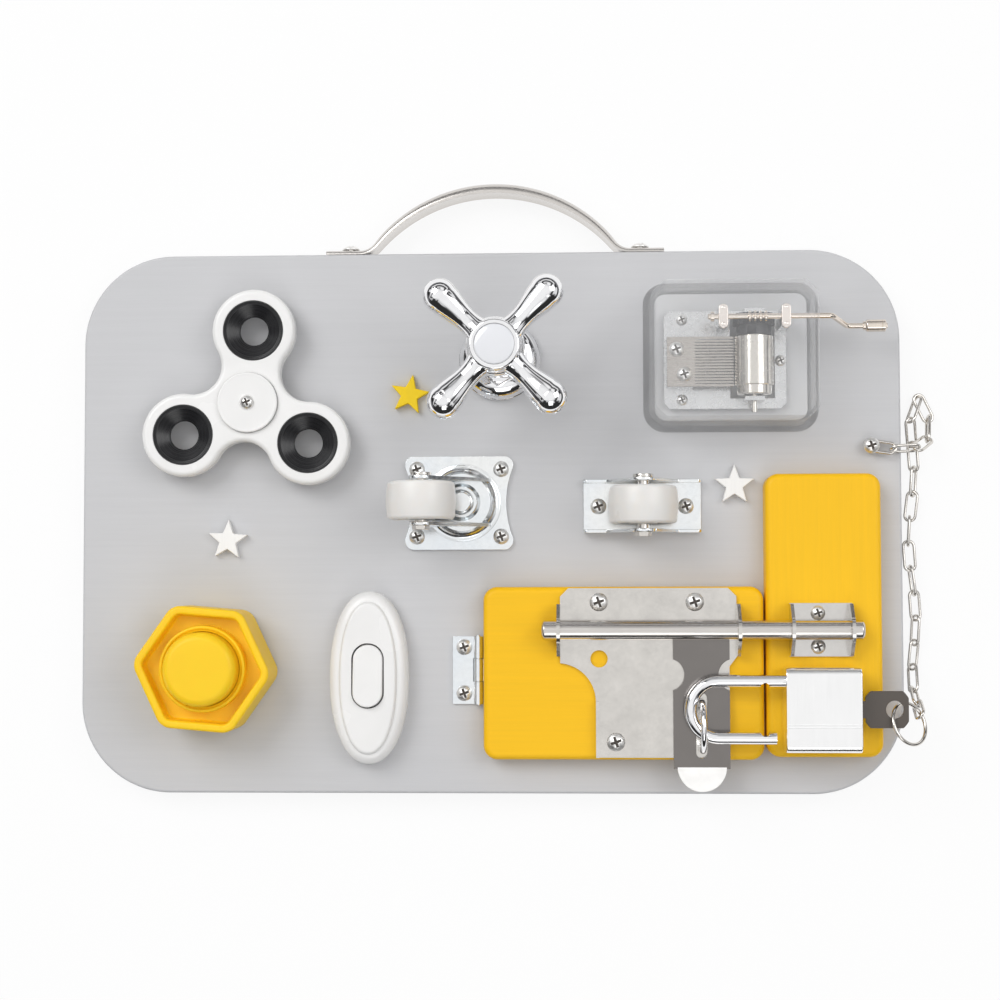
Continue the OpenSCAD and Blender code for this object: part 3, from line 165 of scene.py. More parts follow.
def stained_wood(name, colour, along, contrast, roughness, pores=0.25):
    """Stained wood with its grain along X or Y: broad figure, fine fibres and short pores."""
    material, nodes, links, shader, place = finish(name, colour, roughness, Specular_IOR_Level=0.3)
    long_way = (14, 520, 520) if along == "X" else (520, 14, 520)
    fibre_way = (60, 2600, 2600) if along == "X" else (2600, 60, 2600)
    figure = streaks(nodes, links, place, long_way, 1.0, 5.0, 0.62)
    fibre = streaks(nodes, links, place, fibre_way, 1.0, 3.0, 0.6)
    cloud = streaks(nodes, links, place, (9, 9, 9), 1.0, 2.0, 0.5)
    wide = tinted(nodes, links, figure, (shade(colour, 1 - contrast), shade(colour, 1 + contrast)))
    fine = tinted(nodes, links, fibre, (shade(colour, 1 - 0.8 * contrast), shade(colour, 1 + 0.6 * contrast)))
    soft = tinted(nodes, links, cloud, (shade(colour, 1 - 0.7 * contrast), shade(colour, 1 + 0.6 * contrast)))
    grain = blended(nodes, links, wide, fine, 0.45)
    links.new(blended(nodes, links, grain, soft, 0.3), shader.inputs["Base Color"])
    links.new(between(nodes, links, figure, roughness - 0.07, roughness + 0.09), shader.inputs["Roughness"])
    relief(nodes, links, shader, fibre, pores, 0.12)
    return material, nodes, links, shader, place


def panel_plywood():
    """Grey stained birch plywood: streaky face and thin plies round the edge."""
    colour = (0.575, 0.576, 0.588)
    material, nodes, links, shader, place = stained_wood("grey_plywood", colour, "X", 0.045, 0.5, 0.16)
    face_colour = shader.inputs["Base Color"].links[0].from_socket
    height = nodes.new("ShaderNodeSeparateXYZ")
    links.new(place, height.inputs[0])
    plies = nodes.new("ShaderNodeTexWave")
    plies.wave_type = "BANDS"
    plies.bands_direction = "Z"
    plies.inputs["Scale"].default_value = 105
    plies.inputs["Distortion"].default_value = 0.6
    plies.inputs["Detail"].default_value = 2
    links.new(place, plies.inputs["Vector"])
    edge_colour = tinted(nodes, links, plies.outputs["Fac"], (shade(colour, 0.86), shade(colour, 1.1)), 0.2,
                         0.8)
    facing = nodes.new("ShaderNodeNewGeometry")
    normal = nodes.new("ShaderNodeSeparateXYZ")
    links.new(facing.outputs["Normal"], normal.inputs[0])
    upright = nodes.new("ShaderNodeMath")
    upright.operation = "ABSOLUTE"
    links.new(normal.outputs["Z"], upright.inputs[0])
    side = between(nodes, links, upright.outputs[0], 1.0, 0.0, 0.25, 0.6)
    links.new(blended(nodes, links, face_colour, edge_colour, side), shader.inputs["Base Color"])
    return material


def bright_metal(name, colour, roughness, spread=0.05, brush=None, mottle=0.0, bump=0.0, wave=0.0):
    """Plated or ground metal. brush is the repeats per metre of its brushing, mottle its patchiness,
    and wave how much the rolled sheet undulates."""
    material, nodes, links, shader, place = finish(name, colour, roughness, 1.0)
    way = brush or (320, 320, 320)
    lines = streaks(nodes, links, place, way, 1.0, 4.0, 0.6)
    patches = streaks(nodes, links, place, (90, 90, 90), 1.0, 5.0, 0.7)
    light = tinted(nodes, links, patches, (shade(colour, 1 - mottle), shade(colour, 1 + 0.4 * mottle)))
    fine = tinted(nodes, links, lines, (shade(colour, 0.93), shade(colour, 1.04)))
    links.new(blended(nodes, links, light, fine, 0.4), shader.inputs["Base Color"])
    links.new(between(nodes, links, lines, max(0.02, roughness - spread), roughness + spread),
              shader.inputs["Roughness"])
    if wave:
        rolls = streaks(nodes, links, place, (26, 34, 30), 1.0, 1.0, 0.4)
        relief(nodes, links, shader, rolls, wave, 1.0)
    elif bump:
        relief(nodes, links, shader, lines, bump, 0.05)
    return material


def spangled_zinc(name, colour, roughness):
    """Zinc plate with the faint blue and warm patches of its passivation."""
    material, nodes, links, shader, place = finish(name, colour, roughness, 1.0)
    patches = streaks(nodes, links, place, (38, 38, 38), 1.0, 3.0, 0.5)
    specks = streaks(nodes, links, place, (700, 700, 700), 1.0, 2.0, 0.5)
    cool = tinted(nodes, links, patches, ((0.80, 0.86, 0.92), (0.95, 0.95, 0.93)), 0.36, 0.62)
    dots = tinted(nodes, links, specks, (shade(colour, 0.95), shade(colour, 1.04)), 0.35, 0.65)
    links.new(blended(nodes, links, cool, dots, 0.5), shader.inputs["Base Color"])
    links.new(between(nodes, links, specks, roughness - 0.03, roughness + 0.05), shader.inputs["Roughness"])
    relief(nodes, links, shader, patches, 0.12, 0.8)
    return material


def moulded(name, colour, roughness, texture=0.05, **sockets):
    """Moulded plastic or paint: a very fine surface texture and a slightly uneven gloss."""
    material, nodes, links, shader, place = finish(name, colour, roughness, **sockets)
    cloud = streaks(nodes, links, place, (45, 45, 45), 1.0, 3.0, 0.5)
    peel = streaks(nodes, links, place, (850, 850, 850), 1.0, 2.0, 0.5)
    links.new(tinted(nodes, links, cloud, (shade(colour, 0.965), shade(colour, 1.02))),
              shader.inputs["Base Color"])
    links.new(between(nodes, links, cloud, roughness - 0.04, roughness + 0.06), shader.inputs["Roughness"])
    relief(nodes, links, shader, peel, texture, 0.05)
    return material


def ringed_steel(name, centres):
    """Black turned steel: fine rings cut round each weight's own centre."""
    material, nodes, links, shader, place = finish(name, (0.010, 0.010, 0.011), 0.26, 0.0,
                                                   Specular_IOR_Level=0.45)
    nearest = None
    for centre in centres:
        mapping = nodes.new("ShaderNodeMapping")
        mapping.inputs["Location"].default_value = (-centre[0] * MM, -centre[1] * MM, 0)
        links.new(place, mapping.inputs["Vector"])
        flat = nodes.new("ShaderNodeVectorMath")
        flat.operation = "MULTIPLY"
        flat.inputs[1].default_value = (1, 1, 0)
        links.new(mapping.outputs["Vector"], flat.inputs[0])
        far = nodes.new("ShaderNodeVectorMath")
        far.operation = "LENGTH"
        links.new(flat.outputs["Vector"], far.inputs[0])
        if nearest is None:
            nearest = far.outputs["Value"]
        else:
            least = nodes.new("ShaderNodeMath")
            least.operation = "MINIMUM"
            links.new(nearest, least.inputs[0])
            links.new(far.outputs["Value"], least.inputs[1])
            nearest = least.outputs[0]
    spread = nodes.new("ShaderNodeCombineXYZ")
    links.new(nearest, spread.inputs["X"])
    cuts = streaks(nodes, links, spread.outputs["Vector"], (3200, 1, 1), 1.0, 3.0, 0.6)
    links.new(tinted(nodes, links, cuts, ((0.004, 0.004, 0.005), (0.022, 0.022, 0.024))),
              shader.inputs["Base Color"])
    links.new(between(nodes, links, cuts, 0.2, 0.36), shader.inputs["Roughness"])
    relief(nodes, links, shader, cuts, 0.35, 0.05)
    return material


def clear_case(name, veil, edge):
    """Clear polystyrene: a thin veil where it is looked through, and more opaque white where it is seen on
    edge, which is a painted reflection for its bright edges.
    """
    colour = (0.97, 0.975, 1.0)
    material, nodes, links, shader, place = finish(name, colour, 0.07, IOR=1.46, Specular_IOR_Level=0.2)
    cloud = streaks(nodes, links, place, (60, 60, 60), 1.0, 2.0, 0.5)
    links.new(tinted(nodes, links, cloud, (shade(colour, 0.97), shade(colour, 1.02))),
              shader.inputs["Base Color"])
    links.new(between(nodes, links, cloud, 0.05, 0.12), shader.inputs["Roughness"])
    # The white's opacity rises at grazing angles: painted reflection on walls seen edge-on.
    edgewise = nodes.new("ShaderNodeLayerWeight")
    edgewise.inputs["Blend"].default_value = 0.5
    links.new(between(nodes, links, edgewise.outputs["Facing"], veil, edge, 0.25, 0.97),
              shader.inputs["Alpha"])
    return material


WEIGHT_REACH, WEIGHT_TURN = 26.4, 86
weight_centres = [(SPINNER[0] + WEIGHT_REACH * math.cos(math.radians(WEIGHT_TURN + turn)),
                   SPINNER[1] + WEIGHT_REACH * math.sin(math.radians(WEIGHT_TURN + turn)))
                  for turn in (0, 120, 240)]
YELLOW = (0.940, 0.535, 0.006)
finishes = {
    "grey_plywood": panel_plywood(),
    "yellow_wood": stained_wood("yellow_wood", YELLOW, "X", 0.06, 0.42, 0.3)[0],
    "white_paint_wood": stained_wood("white_paint_wood", (0.90, 0.89, 0.87), "Y", 0.05, 0.55, 0.2)[0],
    "brushed_nickel": bright_metal("brushed_nickel", (0.66, 0.63, 0.60), 0.22, 0.08, (25, 2200, 2200), 0.05,
                                   0.1),
    "nickel": bright_metal("nickel", (0.72, 0.69, 0.65), 0.14, 0.05, None, 0.06),
    "nickel_sheet": bright_metal("nickel_sheet", (0.68, 0.66, 0.635), 0.2, 0.06, (380, 380, 380), 0.1, 0.0,
                                 0.22),
    "zinc": spangled_zinc("zinc", (0.84, 0.86, 0.87), 0.18),
    "zinc_casting": bright_metal("zinc_casting", (0.66, 0.665, 0.67), 0.27, 0.08, (300, 300, 300), 0.12,
                                 0.12),
    "comb_steel": bright_metal("comb_steel", (0.46, 0.43, 0.40), 0.3, 0.08, (60, 1800, 1800), 0.08, 0.1),
    "drum_steel": bright_metal("drum_steel", (0.68, 0.65, 0.60), 0.2, 0.06, (900, 60, 900), 0.06),
    "bearing_steel": bright_metal("bearing_steel", (0.7, 0.71, 0.72), 0.12),
    "chrome": bright_metal("chrome", (0.91, 0.91, 0.92), 0.05, 0.02),
    "chrome_satin": bright_metal("chrome_satin", (0.95, 0.95, 0.95), 0.2, 0.05, (2200, 60, 60), 0.03, 0.02),
    "brass": bright_metal("brass", (0.70, 0.56, 0.33), 0.24, 0.06),
    "black_steel": ringed_steel("black_steel", weight_centres),
    "dark_nylon": moulded("dark_nylon", (0.045, 0.045, 0.05), 0.42, 0.1),
    "dark_key": moulded("dark_key", (0.088, 0.074, 0.063), 0.3, 0.3),
    "white_plastic": moulded("white_plastic", (0.86, 0.855, 0.845), 0.24, 0.03),
    "clear_white": moulded("clear_white", (0.82, 0.83, 0.86), 0.12, 0.02, Coat_Weight=0.6),
    "milky_plastic": moulded("milky_plastic", (0.80, 0.785, 0.76), 0.3, 0.05, Subsurface_Weight=0.6,
                             Subsurface_Scale=0.004),
    "clear_plastic": clear_case("clear_plastic", 0.08, 0.42),
    "yellow_plastic": moulded("yellow_plastic", (1.0, 0.63, 0.012), 0.4, 0.08, Subsurface_Weight=0.12,
                              Subsurface_Scale=0.003, Specular_IOR_Level=0.35),
}
milky_shader = finishes["milky_plastic"].node_tree.nodes["Principled BSDF"]
milky_shader.inputs["Subsurface Radius"].default_value = (1, 0.9, 0.8)
upright_yellow = stained_wood("yellow_wood_upright", YELLOW, "Y", 0.06, 0.42, 0.3)[0]
hasp_grey = bright_metal("hasp_grey", (0.22, 0.205, 0.195), 0.2, 0.03, (120, 120, 120), 0.03, 0.0, 0.16)
plate_nickel = bright_metal("plate_nickel", (0.70, 0.675, 0.64), 0.17, 0.07, (1500, 1500, 1500), 0.22, 0.0,
                            0.4)
screw_nickel = bright_metal("screw_nickel", (0.95, 0.94, 0.92), 0.36, 0.06, None, 0.05)
clip_nickel = bright_metal("clip_nickel", (0.86, 0.79, 0.74), 0.22, 0.04, None, 0.04)
# Near-black metal for the screws' cross recesses: painted shade, not the screws' own colour.
recess_painted_shade = bright_metal("recess_painted_shade", (0.10, 0.088, 0.08), 0.42)
warm_nickel = bright_metal("warm_nickel", (0.82, 0.74, 0.66), 0.16, 0.05, None, 0.05)
milky_floor = clear_case("milky_floor", 0.62, 0.75)
star_yellow_paint = stained_wood("star_yellow_paint", (0.95, 0.66, 0.012), "Y", 0.05, 0.5, 0.2)[0]

for node, piece in frame["nodes"].items():
    piece.data.materials.clear()
    piece.data.materials.append(finishes[slot_of_node[node]])


# ---------- Modelling ----------

def rounded(bm, what, offset, steps, kind="EDGES", **more):
    """Rounds edges or corners."""
    bmesh.ops.bevel(bm, geom=what, offset=offset, segments=steps, profile=0.5, affect=kind, material=-1,
                    **more)


def shown(name, data):
    """An object in the scene that carries the data."""
    holder = bpy.data.objects.new(name, data)
    bpy.context.scene.collection.objects.link(holder)
    return holder


def settle(bm, name, *nodes, material=None, crisp=38):
    """Makes a mesh a named piece that stands for the nodes, and rides on their body."""
    bmesh.ops.scale(bm, vec=(MM, MM, MM), verts=bm.verts)
    bmesh.ops.remove_doubles(bm, verts=bm.verts, dist=0.000002)
    bmesh.ops.recalc_face_normals(bm, faces=bm.faces)
    mesh = bpy.data.meshes.new(name)
    bm.to_mesh(mesh)
    bm.free()
    mesh.shade_smooth()
    mesh.set_sharp_from_angle(angle=math.radians(crisp))
    mesh.materials.append(material or finishes[slot_of_node[nodes[0]]])
    piece = shown(name, mesh)
    weigh = piece.modifiers.new("even_shading", "WEIGHTED_NORMAL")
    weigh.keep_sharp = True
    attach(piece, body_of_node[nodes[0]])
    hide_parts(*nodes)
    return piece


def into(target, source, matrix=None):
    """Adds one mesh to another, moved by a matrix."""
    if matrix is not None:
        bmesh.ops.transform(source, matrix=matrix, verts=source.verts)
    spare = bpy.data.meshes.new("spare")
    source.to_mesh(spare)
    source.free()
    target.from_mesh(spare)
    bpy.data.meshes.remove(spare)
    return target


def fitted(bm, way, name, *nodes, **looks):
    """Moves a mesh to its place and settles it there."""
    return settle(into(bmesh.new(), bm, way), name, *nodes, **looks)


def turned(outline, steps=96):
    """A lathed solid: the outline is (radius, height) points, turned round Z."""
    bm = bmesh.new()
    dots = [bm.verts.new((radius, 0, height)) for radius, height in outline]
    wire = [bm.edges.new(pair) for pair in zip(dots, dots[1:])]
    bmesh.ops.spin(bm, geom=dots + wire, cent=(0, 0, 0), axis=(0, 0, 1), angle=math.tau, steps=steps,
                   use_merge=True)
    bmesh.ops.remove_doubles(bm, verts=bm.verts, dist=0.0005)
    bmesh.ops.recalc_face_normals(bm, faces=bm.faces)
    return bm


def arc(radius, centre, start, stop, steps=8):
    """Points of an arc in (radius, height), from one angle to another."""
    return [(centre[0] + radius * math.cos(math.radians(start + (stop - start) * step / steps)),
             centre[1] + radius * math.sin(math.radians(start + (stop - start) * step / steps)))
            for step in range(steps + 1)]


def slab(width, length, low, top, corner, ease=1.0, rounds=10, steps=4, under_ease=None):
    """A rectangular slab with rounded corners and eased upper edge, centred on the origin."""
    bm = bmesh.new()
    bmesh.ops.create_grid(bm, x_segments=1, y_segments=1, size=0.5)
    bmesh.ops.scale(bm, vec=(width, length, 1), verts=bm.verts)
    bmesh.ops.translate(bm, vec=(0, 0, low), verts=bm.verts)
    rounded(bm, bm.verts[:], corner, rounds, "VERTICES")
    lifted = bmesh.ops.extrude_face_region(bm, geom=bm.faces[:])["geom"]
    raised = [item for item in lifted if isinstance(item, bmesh.types.BMVert)]
    bmesh.ops.translate(bm, vec=(0, 0, top - low), verts=raised)
    closed(bm)
    ease_rim(bm, top, ease, steps)
    if under_ease:
        ease_rim(bm, low, under_ease, steps)
    return bm


def closed(bm):
    """Fills what is open and turns the faces outwards."""
    gaps = [edge for edge in bm.edges if edge.is_boundary]
    if gaps:
        bmesh.ops.holes_fill(bm, edges=gaps, sides=0)
    bmesh.ops.recalc_face_normals(bm, faces=bm.faces)


def ease_rim(bm, height, ease, steps=4, sharpest=60):
    """Rounds the sharp edges that lie at one height."""
    rim = [edge for edge in bm.edges if len(edge.link_faces) == 2
           and all(abs(vert.co.z - height) < SHARED for vert in edge.verts)
           and math.degrees(edge.calc_face_angle(0)) > sharpest]
    if rim:
        rounded(bm, rim, ease, steps, clamp_overlap=True)


def drawn(section, stations, loop=False):
    """Draws a closed section of (x, y) points through a row of matrices."""
    bm = bmesh.new()
    first = [bm.verts.new(stations[0] @ Vector((x, y, 0))) for x, y in section]
    ring = [bm.edges.new((one, other)) for one, other in zip(first, first[1:] + first[:1])]
    start = ring
    for before, after in zip(stations, stations[1:]):
        grown = bmesh.ops.extrude_edge_only(bm, edges=ring)["geom"]
        dots = [item for item in grown if isinstance(item, bmesh.types.BMVert)]
        bmesh.ops.transform(bm, matrix=after @ before.inverted(), verts=dots)
        fresh = set(dots)
        ring = [item for item in grown if isinstance(item, bmesh.types.BMEdge)
                and item.verts[0] in fresh and item.verts[1] in fresh]
    if loop:
        bmesh.ops.bridge_loops(bm, edges=start + ring)
        bmesh.ops.remove_doubles(bm, verts=bm.verts, dist=0.0005)
    closed(bm)
    return bm


def round_section(radius, sides=16):
    return [(radius * math.cos(math.tau * step / sides), radius * math.sin(math.tau * step / sides))
            for step in range(sides)]


def facing(place, ahead, up=(0, 0, 1)):
    """A matrix at a place whose Z runs ahead and whose Y leans to up."""
    ahead = Vector(ahead).normalized()
    across = Vector(up).cross(ahead).normalized()
    rise = ahead.cross(across)
    turn = Matrix((across, rise, ahead)).transposed().to_4x4()
    return Matrix.Translation(place) @ turn


def along(axis, place=(0, 0, 0)):
    """A matrix that lays a lathed solid along X or Y, moved to a place."""
    turn = {"X": Matrix.Rotation(math.pi / 2, 4, "Y"), "Y": Matrix.Rotation(-math.pi / 2, 4, "X"),
            "Z": Matrix.Identity(4)}[axis]
    return Matrix.Translation(place) @ turn


def at(x, y, height=0.0):
    return Matrix.Translation((x, y, FACE + height))


def merged(node):
    """A copy of a node in millimetres, with its loose triangles joined and its flat faces whole."""
    bm = bmesh.new()
    bm.from_mesh(frame["nodes"][node].data)
    bmesh.ops.remove_doubles(bm, verts=bm.verts, dist=0.000004)
    bmesh.ops.scale(bm, vec=(1 / MM,) * 3, verts=bm.verts)
    bmesh.ops.dissolve_limit(bm, angle_limit=math.radians(1.0), use_dissolve_boundaries=False,
                             verts=bm.verts, edges=bm.edges, delimit={"NORMAL"})
    return bm


def eased(node, ease=0.15, steps=2, keen=32, name=None, material=None, crisp=38):
    """A merged copy of a node with its hard edges softened, as pressed or cut metal has them."""
    bm = merged(node)
    hard = [edge for edge in bm.edges if len(edge.link_faces) == 2
            and math.degrees(edge.calc_face_angle(0)) > keen]
    if ease:
        rounded(bm, hard, ease, steps, clamp_overlap=True)
    return settle(bm, name or node + "_piece", node, material=material, crisp=crisp)


def crossed(node, head_d, axis=2, ease=0.1):
    """Screws whose crossed recesses get a near-black finish, which is painted shade in the hollows. axis is
    the world axis that they stand along.
    """
    piece = eased(node, ease, material=screw_nickel)
    mesh = piece.data
    mesh.materials.append(recess_painted_shade)
    bm = bmesh.new()
    bm.from_mesh(mesh)
    flat = [index for index in range(3) if index != axis]
    unseen = set(bm.faces)
    while unseen:
        island, edge_of_it = set(), [next(iter(unseen))]
        while edge_of_it:
            face = edge_of_it.pop()
            if face in island:
                continue
            island.add(face)
            edge_of_it += [near for edge in face.edges for near in edge.link_faces if near not in island]
        unseen -= island
        spots = [vert.co for face in island for vert in face.verts]
        middle = [(min(spot[way] for spot in spots) + max(spot[way] for spot in spots)) / 2 for way in flat]
        top = max(spot[axis] for spot in spots)
        for face in island:
            centre = face.calc_center_median()
            away = math.hypot(*(centre[way] - place for way, place in zip(flat, middle))) / MM
            deep = (top - centre[axis]) / MM
            steep = abs(face.normal[axis]) < 0.5
            # Faces deep in the cross recess take the dark finish: painted shade.
            if away < 0.31 * head_d and (0.15 < deep < 1.15 and steep or 0.6 < deep < 1.2):
                face.material_index = 1
    bm.to_mesh(mesh)
    bm.free()
    return piece


# ---------- Panel and handle ----------

board = slab(BOARD[0], BOARD[1], 0, FACE, BOARD[2], 1.1, 28, 4, 1.1)
settle(board, "board", "board_panel")

# The strip stands 4 mm wider inside than the solid does.
HANDLE_CLEAR = 91.0
FOOT_Y = 99.02
ARC_RISE = 22.5
ARC_R = ((HANDLE_CLEAR / 2) ** 2 + ARC_RISE ** 2) / (2 * ARC_RISE)
ARC_Y = 99.0 + ARC_RISE - ARC_R
strip = ([(-5.5, 0.0), (-5.5, 0.8)]
         + [(5.5 * math.sin(math.radians(turn)), 0.8 + 3.3 * math.cos(math.radians(turn)))
            for turn in range(-80, 81, 10)]
         + [(5.5, 0.8), (5.5, 0.0)]
         + [(5.0 * math.cos(math.radians(turn)), 0.45 * math.sin(math.radians(turn)))
            for turn in range(20, 161, 20)])


def handle_station(x, y, ahead, thin):
    """A station of the handle's strip: section X is the panel's Z, section Y points away from the panel."""
    ahead = Vector(ahead).normalized()
    away = Vector((-ahead.y, ahead.x, 0))
    turn = Matrix((Vector((0, 0, 1)), away, ahead)).transposed().to_4x4()
    return Matrix.Translation((x, y, FACE / 2)) @ turn @ Matrix.Diagonal((1, thin, 1, 1))


stations = []
half = math.degrees(math.asin(HANDLE_CLEAR / 2 / ARC_R))
leg_lean = half - 4
leg_x = -ARC_R * math.sin(math.radians(leg_lean))
leg_y = ARC_Y + ARC_R * math.cos(math.radians(leg_lean))
bend_r = (leg_y - FOOT_Y) / (1 - math.cos(math.radians(leg_lean)))
bend_x = leg_x - bend_r * math.sin(math.radians(leg_lean))
for x in (-62.4, -60.5, -56.0, -52.0, bend_x - 0.4):
    stations.append(handle_station(HANDLE_X + x, FOOT_Y, (1, 0, 0), 0.5))
for step in range(0, 9):
    share = step / 8
    lean = math.radians(leg_lean * share)
    stations.append(handle_station(HANDLE_X + bend_x + bend_r * math.sin(lean),
                                   FOOT_Y + bend_r * (1 - math.cos(lean)),
                                   (math.cos(lean), math.sin(lean), 0), 0.5 + 0.1 * share))
for step in range(1, 40):
    angle = math.radians(90 + leg_lean * (1 - step / 20))
    swell = 0.6 + 0.4 * math.sin(math.pi * step / 40) ** 0.7
    stations.append(handle_station(HANDLE_X + ARC_R * math.cos(angle), ARC_Y + ARC_R * math.sin(angle),
                                   (math.sin(angle), -math.cos(angle), 0), swell))
mirror = []
for station in reversed(stations[:14]):
    place = station.translation
    ahead = station.to_3x3() @ Vector((0, 0, 1))
    thin = (station.to_3x3() @ Vector((0, 1, 0))).length
    mirror.append(handle_station(2 * HANDLE_X - place.x, place.y, (ahead.x, -ahead.y, 0), thin))
handle = drawn(strip, stations + mirror)
settle(handle, "handle_strip", "carry_handle", crisp=50)
crossed("handle_screws", 6.6, 1)

# ---------- Stars ----------

eased("stars_white", 0.35, 2)
eased("star_yellow", 0.35, 2, material=star_yellow_paint)
crossed("wood_screws", 5.8)

# ---------- Spinner ----------

def spinner_shell():
    """The spinner's body: a generous round on its outline, and crisp edges where the weights go in."""
    bm = merged("spinner_body")
    outline, bores = [], []
    for edge in bm.edges:
        if len(edge.link_faces) == 2 and math.degrees(edge.calc_face_angle(0)) > 60:
            middle = (edge.verts[0].co + edge.verts[1].co) / 2
            near = min(math.hypot(middle.x - x, middle.y - y) for x, y in weight_centres + [SPINNER])
            (bores if near < 11.6 else outline).append(edge)
    rounded(bm, outline, 1.9, 6, clamp_overlap=True)
    bores = [edge for edge in bores if edge.is_valid]
    rounded(bm, bores, 0.25, 2, clamp_overlap=True)
    return settle(bm, "spinner_shell", "spinner_body", crisp=38)


spinner_shell()
rings = bmesh.new()
weight_outline = [(11, 0.3), (11, 6.8), (10.85, 7.0), (10.45, 7.0), (10.3, 6.75), (10.1, 6.7), (9.9, 6.85),
                  (9.6, 6.8), (5.5, 4.4), (5.2, 4.1), (5.2, 2.9), (5.5, 2.6), (9.6, 0.2), (10.7, 0.0), (11,
                                                                                                        0.3)]
for centre in weight_centres:
    into(rings, turned(weight_outline), at(*centre, 4))
settle(rings, "spinner_rings", "spinner_weights", crisp=30)
cap = turned([(0, 1.25), (3.0, 1.25), (3.1, 1.2), (9.6, 1.15), (10.1, 1.3)]
             + arc(0.45, (10.5, 0.85), 90, 0, 5)
             + [(10.95, 0.1), (10.6, 0), (5.6, 0), (5.6, -0.3), (3.9, -0.3), (3.9, -7.0), (0, -7.0)])
fitted(cap, at(*SPINNER, 11.3), "spinner_cap_disc", "spinner_cap")
crossed("spinner_screw", 5, 2, 0.08)

# ---------- Tap ----------

flange = turned([(9, 0), (15, 0), (15, 1.0)] + arc(0.6, (14.4, 1.4), 0, 70, 4)
                + [(9 + 6 * math.cos(math.radians(turn)), 1.2 + 5.8 * math.sin(math.radians(turn)))
                   for turn in range(20, 91, 7)])
fitted(flange, at(*TAP), "tap_flange_cup", "tap_flange", crisp=50)
valve = turned([(0, 0.5), (9, 0.5), (9, 26.0), (8.4, 26.4), (7.0, 26.4), (7.0, 30.4), (0, 30.4)])
valve_nut = bmesh.new()
bmesh.ops.create_cone(valve_nut, cap_ends=True, segments=6, radius1=11, radius2=11, depth=6)
bmesh.ops.translate(valve_nut, vec=(0, 0, 12), verts=valve_nut.verts)
rounded(valve_nut, valve_nut.edges[:], 0.5, 3)
fitted(into(valve, valve_nut), at(*TAP), "tap_valve", "tap_body")
hub = turned([(0, 30.7), (7.6, 30.7), (8.6, 31.2), (10.3, 33.4)] + arc(2.2, (8.3, 39.2), 12, 60, 5)
             + [(9.1, 42.4), (8.9, 43.2)] + arc(0.8, (8.1, 45.2), 0, 90, 5) + [(7.2, 46), (7.1, 44.9),
                                                                               (0, 44.9)])
ball_r, reach = 6.15, 26.1
spoke = turned([(0, 0), (5.0, 0.5), (5.0, 8.4), (4.7, 9.6), (4.4, 10.8), (4.2, 12.2), (4.15, 13.4),
                (4.2, 14.6),
                (4.4, 16.2), (4.85, 18.4), (5.35, 20.8), (5.8, 23.0)] + arc(ball_r, (0, reach), -20, 90,
                                                                            16), 72)
spare_spoke = bpy.data.meshes.new("spoke")
spoke.to_mesh(spare_spoke)
spoke.free()
for turn in (47, 137, 227, 317):
    arm = bmesh.new()
    arm.from_mesh(spare_spoke)
    into(hub, arm, Matrix.Rotation(math.radians(turn), 4, "Z") @ Matrix.Translation((0, 0, 38.6))
         @ along("X"))
fitted(hub, at(*TAP), "tap_cross", "tap_handle", crisp=60)
button = turned([(0, 2.1), (2.5, 2.05), (5.0, 1.85), (6.4, 1.5)] + arc(0.5, (6.5, 1.0), 70, 0, 4)
                + [(7.0, 0), (0, 0)])
fitted(button, at(*TAP, 44.8), "tap_index", "tap_button", crisp=60)

# ---------- Music box ----------

case_foot = slab(63.6, 54.6, 0, 1.0, 8, 0.3, 12, 3)
fitted(case_foot, at(*MUSIC), "case_foot", "music_base")
case_floor = slab(55.4, 46.4, 1.0, 1.9, 4, 0.3, 6, 2)
fitted(case_floor, at(*MUSIC), "case_floor", "music_base", material=milky_floor)


def cut_corner_box(width, length, low, top, cut, taper, ease):
    """An open box with cut corners, drawn in a little towards its closed top."""
    bm = bmesh.new()
    bmesh.ops.create_grid(bm, x_segments=1, y_segments=1, size=0.5)
    bmesh.ops.scale(bm, vec=(width, length, 1), verts=bm.verts)
    bmesh.ops.translate(bm, vec=(0, 0, low), verts=bm.verts)
    rounded(bm, bm.verts[:], cut, 1, "VERTICES")
    rounded(bm, bm.verts[:], ease, 3, "VERTICES")
    lifted = bmesh.ops.extrude_face_region(bm, geom=bm.faces[:])["geom"]
    raised = [item for item in lifted if isinstance(item, bmesh.types.BMVert)]
    bmesh.ops.translate(bm, vec=(0, 0, top - low), verts=raised)
    bmesh.ops.scale(bm, vec=((width - taper) / width, (length - taper) / length, 1), verts=raised)
    bottom = [face for face in bm.faces if all(abs(vert.co.z - low) < SHARED for vert in face.verts)]
    bmesh.ops.delete(bm, geom=bottom, context="FACES")
    bmesh.ops.recalc_face_normals(bm, faces=bm.faces)
    lid = [face for face in bm.faces if all(abs(vert.co.z - top) < SHARED for vert in face.verts)]
    if lid and lid[0].normal.z < 0:
        bmesh.ops.reverse_faces(bm, faces=bm.faces)
    return bm


cover = cut_corner_box(59.6, 50.6, 2.05, 25.6, 4.5, 0.8, 0.9)
rim = [edge for edge in cover.edges if all(abs(vert.co.z - 25.6) < SHARED for vert in edge.verts)]
rounded(cover, rim, 1.5, 4)
bmesh.ops.solidify(cover, geom=cover.faces[:], thickness=1.5)
fitted(cover, at(*MUSIC), "case_cover", "music_cover", crisp=45)
eased("music_bedplate", 0.3, 2)
eased("music_comb", 0.06, 1)
crossed("music_comb_screws", 5.4)
crossed("music_plate_screws", 4, 2, 0.06)
clips = bmesh.new()
for x in (MUSIC[0] - 4.1, MUSIC[0] + 18):
    into(clips, slab(3.4, 8.8, 0, 1.75, 1.65, 0.35, 6, 3), at(x, CLIP_Y, CLIP_H))
    for side in (-2.9, 2.9):
        into(clips, turned([(0, 0), (0.7, 0), (0.7, 1.78), (0.5, 1.9), (0, 1.9)], 20),
             at(x, CLIP_Y + side, CLIP_H))
settle(clips, "crank_clips", "music_clips", material=clip_nickel)
DRUM = (96.0, 56.7, 11.6)
